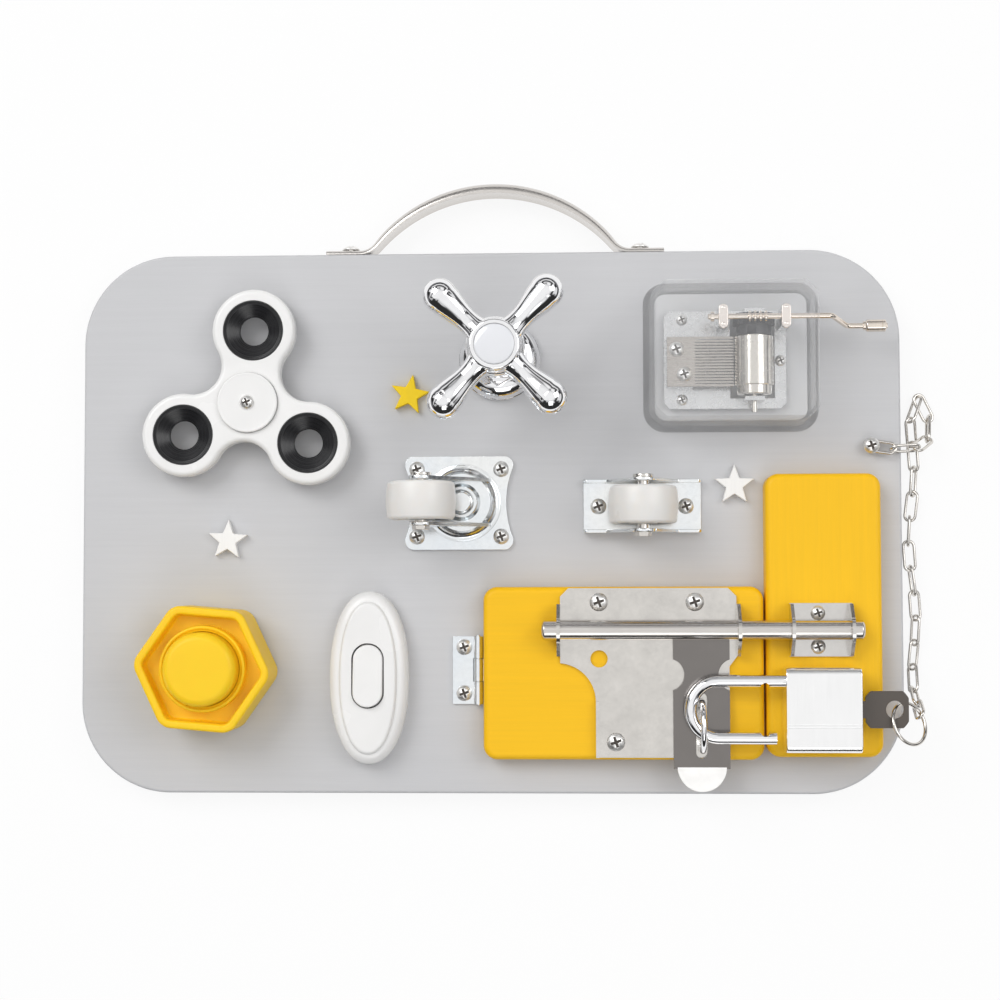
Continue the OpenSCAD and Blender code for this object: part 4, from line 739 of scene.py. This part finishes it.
drum = turned([(0, -18.3), (1, -18.3), (1, -12.2), (5.6, -12.2), (6.2, -11.8), (6.2, -8.9), (6.7, -8.9),
               (6.9, -8.7),
               (6.9, 8.7), (6.7, 8.8), (5.2, 8.8), (5.2, 9.4), (1, 9.4), (1, 18.3), (0, 18.3)], 80)
pin_mesh = bpy.data.meshes.new("pin")
pin = bmesh.new()
bmesh.ops.create_cone(pin, cap_ends=True, segments=6, radius1=0.19, radius2=0.14, depth=0.5)
pin.to_mesh(pin_mesh)
pin.free()
drum_pins = bmesh.new()
for track in range(17):
    for beat in range(9):
        turn = (track * 97 + beat * 43 + (track * beat) % 7 * 11) % 360
        point = bmesh.new()
        point.from_mesh(pin_mesh)
        into(drum_pins, point, Matrix.Rotation(math.radians(turn), 4, "Z")
             @ Matrix.Translation((6.98, 0, -8.0 + track)) @ Matrix.Rotation(math.pi / 2, 4, "Y"))
drum_way = at(*DRUM) @ along("Y")
fitted(drum, drum_way, "music_cylinder", "music_drum")
fitted(drum_pins, drum_way, "cylinder_pins", "music_drum", material=finishes["comb_steel"])
eased("music_gear", 0)
CRANK_Y, CRANK_Z = 71.5, 11.6 + 7.5 + 2 + 0.15
crank = turned([(0, 0), (0.7, 0), (1, 0.3), (1, 1.0), (1.8, 1.1), (1.8, 2.3), (1, 2.4), (1, 13)]
               + [point for thread in range(4) for point in
                  ((1.0, 14.2 + 1.9 * thread), (2.0, 14.5 + 1.9 * thread), (2.0, 15.1 + 1.9 * thread),
                   (1.0, 15.5 + 1.9 * thread))] + [(1, 43.2)], 40)
into(crank, drawn(round_section(1.0, 20), [
    facing((0, 0, 43.1), (0, 0, 1), (0, 1, 0)), facing((-0.3, 0.1, 44.0), (-0.4, 0.15, 1), (0, 1, 0)),
    facing((-1.4, 0.45, 45.0), (-1.2, 0.4, 1), (0, 1, 0)), facing((-6.6, 2.15, 49.0), (-1.2, 0.4, 1),
                                                                  (0, 1, 0)),
    facing((-7.7, 2.5, 50.0), (-0.4, 0.15, 1), (0, 1, 0)), facing((-8.0, 2.6, 50.9), (0, 0, 1), (0, 1, 0)),
    facing((-8.0, 2.6, 64.4), (0, 0, 1), (0, 1, 0))]))
crank_way = Matrix.Translation((78.9, CRANK_Y, FACE + CRANK_Z)) @ Matrix(
    ((0, 0, 1, 0), (0, -1, 0, 0), (1, 0, 0, 0), (0, 0, 0, 1)))
fitted(crank, crank_way, "crank_rod", "crank_shaft", material=warm_nickel,
       crisp=40)
knob = turned([(0, 8.2), (1.7, 8.2), (2.0, 8.05), (2.2, 7.8), (2.2, 6.9), (2.1, 6.8), (2.2, 6.7),
               (2.2, 1.6), (2.0, 1.2),
               (1.6, 0.9), (1.6, 0.1), (1.0, 0), (0, 0)], 48)
fitted(knob, along("X", (134.6, CRANK_Y - 2.6, FACE + CRANK_Z - 8)), "crank_grip", "crank_knob",
       material=warm_nickel)

# ---------- Casters ----------

eased("caster_plate", 0.3, 2)
dish = turned([(3.05, 2.3), (13.8, 2.3), (14.2, 2.6), (14.2, 3.2), (13.8, 3.55), (13.1, 3.5), (12.5, 3.7)]
              + [(11.9, 4.3), (11.2, 5.0), (10.5, 5.3), (9.8, 5.2), (9.2, 4.9), (8.6, 4.9), (8.0, 5.3),
                 (7.2, 6.2), (6.5, 7.2), (6.0, 8.1), (5.6, 8.6), (5.1, 8.85), (4.6, 8.9), (3.05,
                                                                                           8.9), (3.05, 2.3)])
rivet = turned([(0, 9.3), (4.4, 9.3), (4.5, 9.5), (4.35, 9.75), (3.8, 10.1), (2.8, 10.35), (1.5, 10.48),
                (0, 10.5)], 64)
fitted(rivet, at(*SWIVEL), "caster_rivet", "caster_plate", crisp=70)
eased("caster_yoke", 0.3, 2, name="caster_fork")
fitted(dish, at(*SWIVEL), "caster_dish", "caster_yoke", crisp=60)
eased("caster_axle", 0.2)
tyre = ([(2.06, -6.8), (5, -6.8), (5.1, -6.0), (9.2, -6.0), (9.5, -6.6)]
        + arc(1.7, (10.4, -5.1), -100, -20, 6)
        + [(12.25, -3.2), (12.45, -1.2), (12.5, 0), (12.45, 1.2), (12.25, 3.2)]
        + arc(1.7, (10.4, 5.1), 20, 100, 6) + [(9.5, 6.6), (9.2, 6.0), (5.1, 6.0), (5, 6.8), (2.06, 6.8),
                                               (2.06, -6.8)])
fitted(turned(tyre), at(SWIVEL[0] - 13.4, SWIVEL[1], 22) @ along("Y"), "caster_tyre", "caster_wheel",
       crisp=50)
fitted(turned(tyre), at(*BRACKET, 15) @ along("Y"), "bracket_tyre", "bracket_wheel", crisp=50)
eased("bracket_plate", 0.25, 2)
eased("bracket_axle", 0.2)

# ---------- Nut and bolt ----------

def hexagon(bm, flats, corner, height, rounds=5):
    """A face with six rounded corners, at a height."""
    dots = bmesh.ops.create_circle(bm, cap_ends=True, segments=6, radius=flats / math.sqrt(3))["verts"]
    bmesh.ops.translate(bm, vec=(0, 0, height), verts=dots)
    rounded(bm, dots, corner, rounds, "VERTICES")
    return bm


def top_face(bm):
    """The highest of the broad faces."""
    return max((face for face in bm.faces if len(face.verts) > 8),
               key=lambda face: face.calc_center_median().z)


def grow(bm, face, lift):
    """Draws a face up or down by a lift."""
    grown = bmesh.ops.extrude_face_region(bm, geom=[face])["geom"]
    dots = [item for item in grown if isinstance(item, bmesh.types.BMVert)]
    bmesh.ops.translate(bm, vec=(0, 0, lift), verts=dots)


nut = hexagon(bmesh.new(), 43.6, 3.2, 0)
bmesh.ops.rotate(nut, cent=(0, 0, 0), matrix=Matrix.Rotation(math.radians(30), 3, "Z"), verts=nut.verts)
grow(nut, top_face(nut), 21)
inner = top_face(nut)
bmesh.ops.inset_region(nut, faces=[inner], thickness=3.0, use_even_offset=True)
grow(nut, inner, -7)
bmesh.ops.delete(nut, geom=[face for face in nut.faces if face is inner], context="FACES")
closed(nut)
ease_rim(nut, 21, 1.1, 5)
ease_rim(nut, 0, 0.8, 3)
ease_rim(nut, 14, 1.0, 3)
collar = turned([(13.5, 13.5), (15.5, 13.5), (15.5, 18.8)] + arc(0.7, (14.8, 18.8), 0, 180, 6)
                + [(13.5, 18.6), (13.5, 13.5)])
into(nut, collar)
fitted(nut, at(*NUT, 0.5) @ Matrix.Rotation(math.radians(-5), 4, "Z"), "nut_ring", "toy_nut", crisp=50)
bolt = turned([(0, 0), (13.25, 0), (13.25, 24.2)] + arc(3.2, (10.05, 23.7), 8, 82, 8)
              + [(8.5, 26.95), (4, 27.0), (0, 27.0)])
fitted(bolt, at(*NUT), "bolt_stub", "toy_bolt", crisp=60)

# ---------- Switch ----------

def oval_points(width, length, steps=96):
    """A long blunt oval whose sides are shallow arcs and whose ends are rounder."""
    return [(width / 2 * math.copysign(abs(math.cos(turn)) ** 0.92, math.cos(turn)),
             length / 2 * math.copysign(abs(math.sin(turn)) ** 0.92, math.sin(turn)))
            for turn in (math.tau * step / steps for step in range(steps))]


def oval_shell(rows):
    """Skins a row of ovals (width, length, height) from the foot to the last one, and closes it."""
    bm = bmesh.new()
    width, length, height = rows[0]
    dots = [bm.verts.new((x, y, height)) for x, y in oval_points(width, length)]
    ring = [bm.edges.new((one, other)) for one, other in zip(dots, dots[1:] + dots[:1])]
    for (old_w, old_l, old_h), (new_w, new_l, new_h) in zip(rows, rows[1:]):
        grown = bmesh.ops.extrude_edge_only(bm, edges=ring)["geom"]
        fresh = {item for item in grown if isinstance(item, bmesh.types.BMVert)}
        bmesh.ops.scale(bm, vec=(new_w / old_w, new_l / old_l, 1), verts=list(fresh))
        bmesh.ops.translate(bm, vec=(0, 0, new_h - old_h), verts=list(fresh))
        ring = [item for item in grown if isinstance(item, bmesh.types.BMEdge)
                and item.verts[0] in fresh and item.verts[1] in fresh]
    closed(bm)
    return bm


shell = oval_shell([(28.4, 62.4, 0), (28.8, 62.6, 2.0), (28.8, 62.6, 4.6), (28.2, 61.9, 6.2),
                    (26.8, 60.4, 7.5),
                    (24.6, 58.2, 8.3), (22.6, 56.4, 8.6), (21.4, 55.3, 8.6), (20.9, 54.8, 8.75), (20.5,
                                                                                                  54.3, 9.3),
                    (20.0, 53.7, 9.75), (19.2, 52.8, 9.95), (18.0, 51.6, 10.0)])
cutter = slab(11.8, 23.5, -2, 14, 5.85, 0.01, 14, 1)
cover_piece = fitted(shell, at(*SWITCH), "switch_shell", "switch_cover", crisp=40)
cut_mesh = bpy.data.meshes.new("slot_cutter")
bmesh.ops.transform(cutter, matrix=Matrix.Scale(MM, 4) @ at(SWITCH[0], SWITCH[1] + 0.8), verts=cutter.verts)
cutter.to_mesh(cut_mesh)
cutter.free()
slot_cutter = shown("slot_cutter", cut_mesh)
hole = cover_piece.modifiers.new("slot", "BOOLEAN")
hole.operation = "DIFFERENCE"
hole.object = slot_cutter
hole.solver = "EXACT"
cover_piece.modifiers.move(1, 0)
bpy.context.view_layer.update()
dressed = bpy.data.meshes.new_from_object(cover_piece.evaluated_get(bpy.context.evaluated_depsgraph_get()))
cover_piece.modifiers.clear()
cover_piece.data = dressed
dressed.set_sharp_from_angle(angle=math.radians(40))
bpy.data.objects.remove(slot_cutter)

rocker = slab(10.8, 22.4, 7.4, 11.5, 5.35, 0.7, 12, 4)
for vert in rocker.verts:
    if vert.co.z > 9:
        crease = -6.0
        if vert.co.y < crease:
            vert.co.z += 0.9 * (crease - vert.co.y) / 5.2 - 0.1
        else:
            vert.co.z -= 1.9 * (vert.co.y - crease) / 17.2
fitted(rocker, at(SWITCH[0], SWITCH[1] + 0.8), "switch_key", "switch_rocker", crisp=40)

# ---------- Door and block ----------

block = slab(BLOCK[1] - BLOCK[0], BLOCK[3] - BLOCK[2], 0, 9, 5, 2.3, 12, 6, 0.4)
fitted(block, at((BLOCK[0] + BLOCK[1]) / 2, (BLOCK[2] + BLOCK[3]) / 2), "wood_block", "fixed_block",
       material=upright_yellow)
door = slab(DOOR[1] - DOOR[0], DOOR[3] - DOOR[2], 1.4, 9, 5, 2.3, 12, 6, 0.5)
fitted(door, at((DOOR[0] + DOOR[1]) / 2, (DOOR[2] + DOOR[3]) / 2), "wood_door", "door_panel")
eased("hinge_board_leaf", 0.18, 2)
eased("hinge_door_leaf", 0.18, 2)
eased("hinge_pin", 0.15)
eased("keeper", 0.22, 2)
crossed("keeper_screws", 5.2)

# ---------- Latch ----------

eased("latch_plate", 0.22, 2, material=plate_nickel)
crossed("latch_screws", 6.6)
rod = turned([(0, 0), (2.4, 0), (2.8, 0.15), (3.4, 0.75), (3.5, 1.1), (3.5, 113.2), (3.4, 113.55),
              (2.8, 114.15), (2.4, 114.3),
              (0, 114.3)])
fitted(rod, along("X", (19.5, ROD_Y, FACE + ROD_H)), "latch_rod", "latch_bolt", crisp=30)
# Faces beyond this line, on the tilted tongue, get the bright screw nickel instead of the hasp's dark grey: a
# painted highlight.
TONGUE_HIGHLIGHT_Y = -88.3
hasp = eased("latch_hasp", 0.3, 2, material=hasp_grey)
hasp.data.materials.append(screw_nickel)
for face in hasp.data.polygons:
    if face.center.y < TONGUE_HIGHLIGHT_Y * MM:
        face.material_index = 1
eased("latch_staple", 0)

# ---------- Padlock, key and ring ----------

case_section = []
for corner_x, corner_y, start in ((12.2, 4.9, 0), (-12.2, 4.9, 90), (-12.2, -4.9, 180), (12.2, -4.9, 270)):
    case_section += [(corner_x + 2.6 * math.cos(math.radians(start + turn)),
                      corner_y + 2.6 * math.sin(math.radians(start + turn))) for turn in range(0, 91, 15)]
    if start == 0:
        case_section += [(-4.7, 7.5), (-4.8, 7.15), (-5.1, 7.15), (-5.2, 7.5), (-5.6, 7.5), (-5.7, 7.15),
                         (-6.0, 7.15), (-6.1, 7.5)]
case = drawn(case_section, [Matrix(((0, 0, 1, LOCK_X + offset), (1, 0, 0, LOCK_Y), (0, 1, 0, FACE + LOCK_H),
                                    (0, 0, 0, 1)))
                            @ Matrix.Diagonal((1 - inset / 14.8, 1 - inset / 7.5, 1, 1))
                            for offset, inset in ((0, 0.45), (0.12, 0.15), (0.45, 0), (25.95, 0),
                                                  (26.28, 0.15), (26.4, 0.45))])
settle(case, "lock_case", "padlock_body", crisp=30)
eased("padlock_shackle", 0.25, 3, 40, crisp=45)
eased("padlock_plug", 0.12)
eased("padlock_key", 0.35, 3)
eased("key_ring", 0, crisp=80)

# ---------- Chain ----------

link_drop = [(-12, 27, 13.2), (-3.5, 25.5, 15.4), (5.5, 26, 13), (10.5, 29.5, 7), (11.5, 37.5, 2.8)]
link_turn = [(8, 45, 2.4), (4.5, 36.5, 5)]
link_run = [(4.9 + 1.2 * math.cos(math.radians(60 * (k - 1))), 28 - 9.1 * k, 2.6) for k in range(9)]
link_climb = [(4.5, -53.5, 3), (4.2, -61.6, 6.8), (4, -66.4, 14.8), (3.6, -69.7, 23.1)]
link_joints = link_drop + link_turn + link_run + link_climb
link_rolls = [-10, 60, 155, 95, 10, 60, 155] + [45 + 79 * k for k in range(8)] + [145, 50, 135, 60]
bow, half_run, wire_r = 1.95, 3.5, 0.55
wire_stations = []
for turn in range(-90, 91, 15):
    wire_stations.append(((half_run + bow * math.cos(math.radians(turn)),
                           bow * math.sin(math.radians(turn))), turn + 90))
for turn in range(90, 271, 15):
    wire_stations.append(((-half_run + bow * math.cos(math.radians(turn)),
                           bow * math.sin(math.radians(turn))), turn + 90))
link_stations = [Matrix.Translation((*spot, 0)) @ Matrix.Rotation(math.radians(turn), 4, "Z")
                 @ Matrix.Rotation(math.pi / 2, 4, "Y") for spot, turn in wire_stations]
chain = bmesh.new()
for one, other, roll in zip(link_joints, link_joints[1:], link_rolls):
    start, stop = Vector(one), Vector(other)
    ahead = (stop - start).normalized()
    way = (Matrix.Translation((start + stop) / 2 + Vector((BOARD[0] / 2, 0, 0)))
           @ Matrix.Rotation(math.atan2(ahead.y, ahead.x), 4, "Z") @ Matrix.Rotation(-math.asin(ahead.z), 4,
                                                                                     "Y")
           @ Matrix.Rotation(math.radians(roll), 4, "X"))
    into(chain, drawn(round_section(wire_r, 12), link_stations, True), way)
bmesh.ops.scale(chain, vec=(MM,) * 3, verts=chain.verts)
bmesh.ops.recalc_face_normals(chain, faces=chain.faces)
chain_mesh = bpy.data.meshes.new("chain_links")
chain.to_mesh(chain_mesh)
chain.free()
chain_mesh.shade_smooth()
chain_mesh.materials.append(finishes["nickel"])
chain_piece = shown("chain_links", chain_mesh)
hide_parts("chain")
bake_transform(chain_piece)

# ---------- Room, lamps and camera ----------

floor_mesh = bpy.data.meshes.new("table_top")
floor_form = bmesh.new()
bmesh.ops.create_grid(floor_form, x_segments=1, y_segments=1, size=3)
bmesh.ops.translate(floor_form, vec=(0, 0, -0.00002), verts=floor_form.verts)
floor_form.to_mesh(floor_mesh)
floor_form.free()
floor = shown("table_top", floor_mesh)
paper = bpy.data.materials.new("white_paper")
paper.use_nodes = True
paper_nodes, paper_links = paper.node_tree.nodes, paper.node_tree.links
paper_shader = paper_nodes["Principled BSDF"]
paper_shader.inputs["Base Color"].default_value = (0.9, 0.9, 0.9, 1)
paper_shader.inputs["Roughness"].default_value = 0.9
paper_shader.inputs["Specular IOR Level"].default_value = 0.1
glow = paper_nodes.new("ShaderNodeEmission")
glow.inputs["Color"].default_value = (1, 1, 1, 1)
glow.inputs["Strength"].default_value = 1.0
seen = paper_nodes.new("ShaderNodeLightPath")
sight = reckoned(paper_nodes, paper_links, "MAXIMUM", seen.outputs["Is Camera Ray"],
                 seen.outputs["Is Transmission Ray"])
gleam = reckoned(paper_nodes, paper_links, "MAXIMUM", sight, seen.outputs["Is Glossy Ray"])
amount = reckoned(paper_nodes, paper_links, "MULTIPLY", gleam, 0.88)
paper_mix = paper_nodes.new("ShaderNodeMixShader")
paper_links.new(amount, paper_mix.inputs[0])
paper_links.new(paper_shader.outputs[0], paper_mix.inputs[1])
paper_links.new(glow.outputs[0], paper_mix.inputs[2])
paper_links.new(paper_mix.outputs[0], paper_nodes["Material Output"].inputs["Surface"])
floor_mesh.materials.append(paper)

world = bpy.data.worlds.new("studio")
bpy.context.scene.world = world
world.use_nodes = True
sky_nodes, sky_links = world.node_tree.nodes, world.node_tree.links
sky = sky_nodes["Background"]
direction = sky_nodes.new("ShaderNodeTexCoord")
rise = sky_nodes.new("ShaderNodeSeparateXYZ")
sky_links.new(direction.outputs["Generated"], rise.inputs[0])
dome = sky_nodes.new("ShaderNodeValToRGB")
dome.color_ramp.elements[0].position = 0.0
dome.color_ramp.elements[0].color = (0.22, 0.22, 0.23, 1)
dome.color_ramp.elements[1].position = 0.82
dome.color_ramp.elements[1].color = (1.0, 1.0, 1.0, 1)
for position, level in ((0.20, 0.02), (0.30, 0.02), (0.35, 0.80), (0.49, 0.86), (0.55, 0.06), (0.65, 0.05),
                        (0.73, 0.82)):
    dome.color_ramp.elements.new(position).color = (level, level, level * 1.01, 1)
cards = sky_nodes.new("ShaderNodeTexNoise")
cards.inputs["Scale"].default_value = 1.7
cards.inputs["Detail"].default_value = 1.0
sky_links.new(direction.outputs["Generated"], cards.inputs["Vector"])
cards_level = between(sky_nodes, sky_links, cards.outputs["Fac"], -0.12, 0.12, 0.42, 0.58)
shifted = reckoned(sky_nodes, sky_links, "ADD", rise.outputs["Z"], cards_level)
sky_links.new(shifted, dome.inputs["Fac"])
near_side = between(sky_nodes, sky_links, rise.outputs["Y"], 0.0, 1.0, -0.30, -0.55)
low_down = between(sky_nodes, sky_links, rise.outputs["Z"], 0.0, 1.0, 0.72, 0.60)
dark_share = reckoned(sky_nodes, sky_links, "MULTIPLY", near_side, low_down)
dark_wall = sky_nodes.new("ShaderNodeMix")
dark_wall.data_type = "RGBA"
dark_wall.inputs["B"].default_value = (0.03, 0.03, 0.03, 1)
sky_links.new(dark_share, dark_wall.inputs["Factor"])
sky_links.new(dome.outputs["Color"], dark_wall.inputs["A"])
sky_links.new(dark_wall.outputs["Result"], sky.inputs["Color"])
sky.inputs["Strength"].default_value = 0.95
white = sky_nodes.new("ShaderNodeBackground")
white.inputs["Color"].default_value = (1, 1, 1, 1)
white.inputs["Strength"].default_value = 1.0
sky_path = sky_nodes.new("ShaderNodeLightPath")
sky_mix = sky_nodes.new("ShaderNodeMixShader")
sky_links.new(sky_path.outputs["Is Camera Ray"], sky_mix.inputs[0])
sky_links.new(sky.outputs[0], sky_mix.inputs[1])
sky_links.new(white.outputs[0], sky_mix.inputs[2])
sky_links.new(sky_mix.outputs[0], sky_nodes["World Output"].inputs["Surface"])


def lamp(name, place, target, size, watts, colour=(1, 1, 1)):
    light = bpy.data.lights.new(name, "AREA")
    light.shape = "SQUARE"
    light.size = size
    light.energy = watts
    light.color = colour
    holder = shown(name, light)
    holder.location = place
    holder.rotation_euler = (Vector(target) - Vector(place)).to_track_quat("-Z", "Y").to_euler()


lamp("softbox_left", (-0.85, 0.75, 1.25), (0, 0, 0), 0.9, 11)
lamp("softbox_right", (0.95, 0.35, 1.15), (0, 0, 0), 0.7, 4.5)
lamp("softbox_near", (0.1, -1.1, 1.1), (0, 0, 0), 0.7, 2.6)

camera_data = bpy.data.cameras.new("camera")
camera_data.lens = 66.08
camera_data.sensor_width = 36
camera_data.clip_start = 0.01
camera_data.clip_end = 20
camera = shown("camera", camera_data)
tilt = Euler((math.radians(-2.704), math.radians(-2.554), math.radians(0.259)), "XYZ").to_matrix()
stand = tilt.transposed() @ (Vector((0, 0, 671.593)) - Vector((-4.160, -7.799, 0))) + Vector((0, 0, FACE))
camera.matrix_world = Matrix.Translation(stand * MM) @ tilt.transposed().to_4x4()
bpy.context.scene.camera = camera
bpy.context.scene.view_settings.view_transform = "Standard"
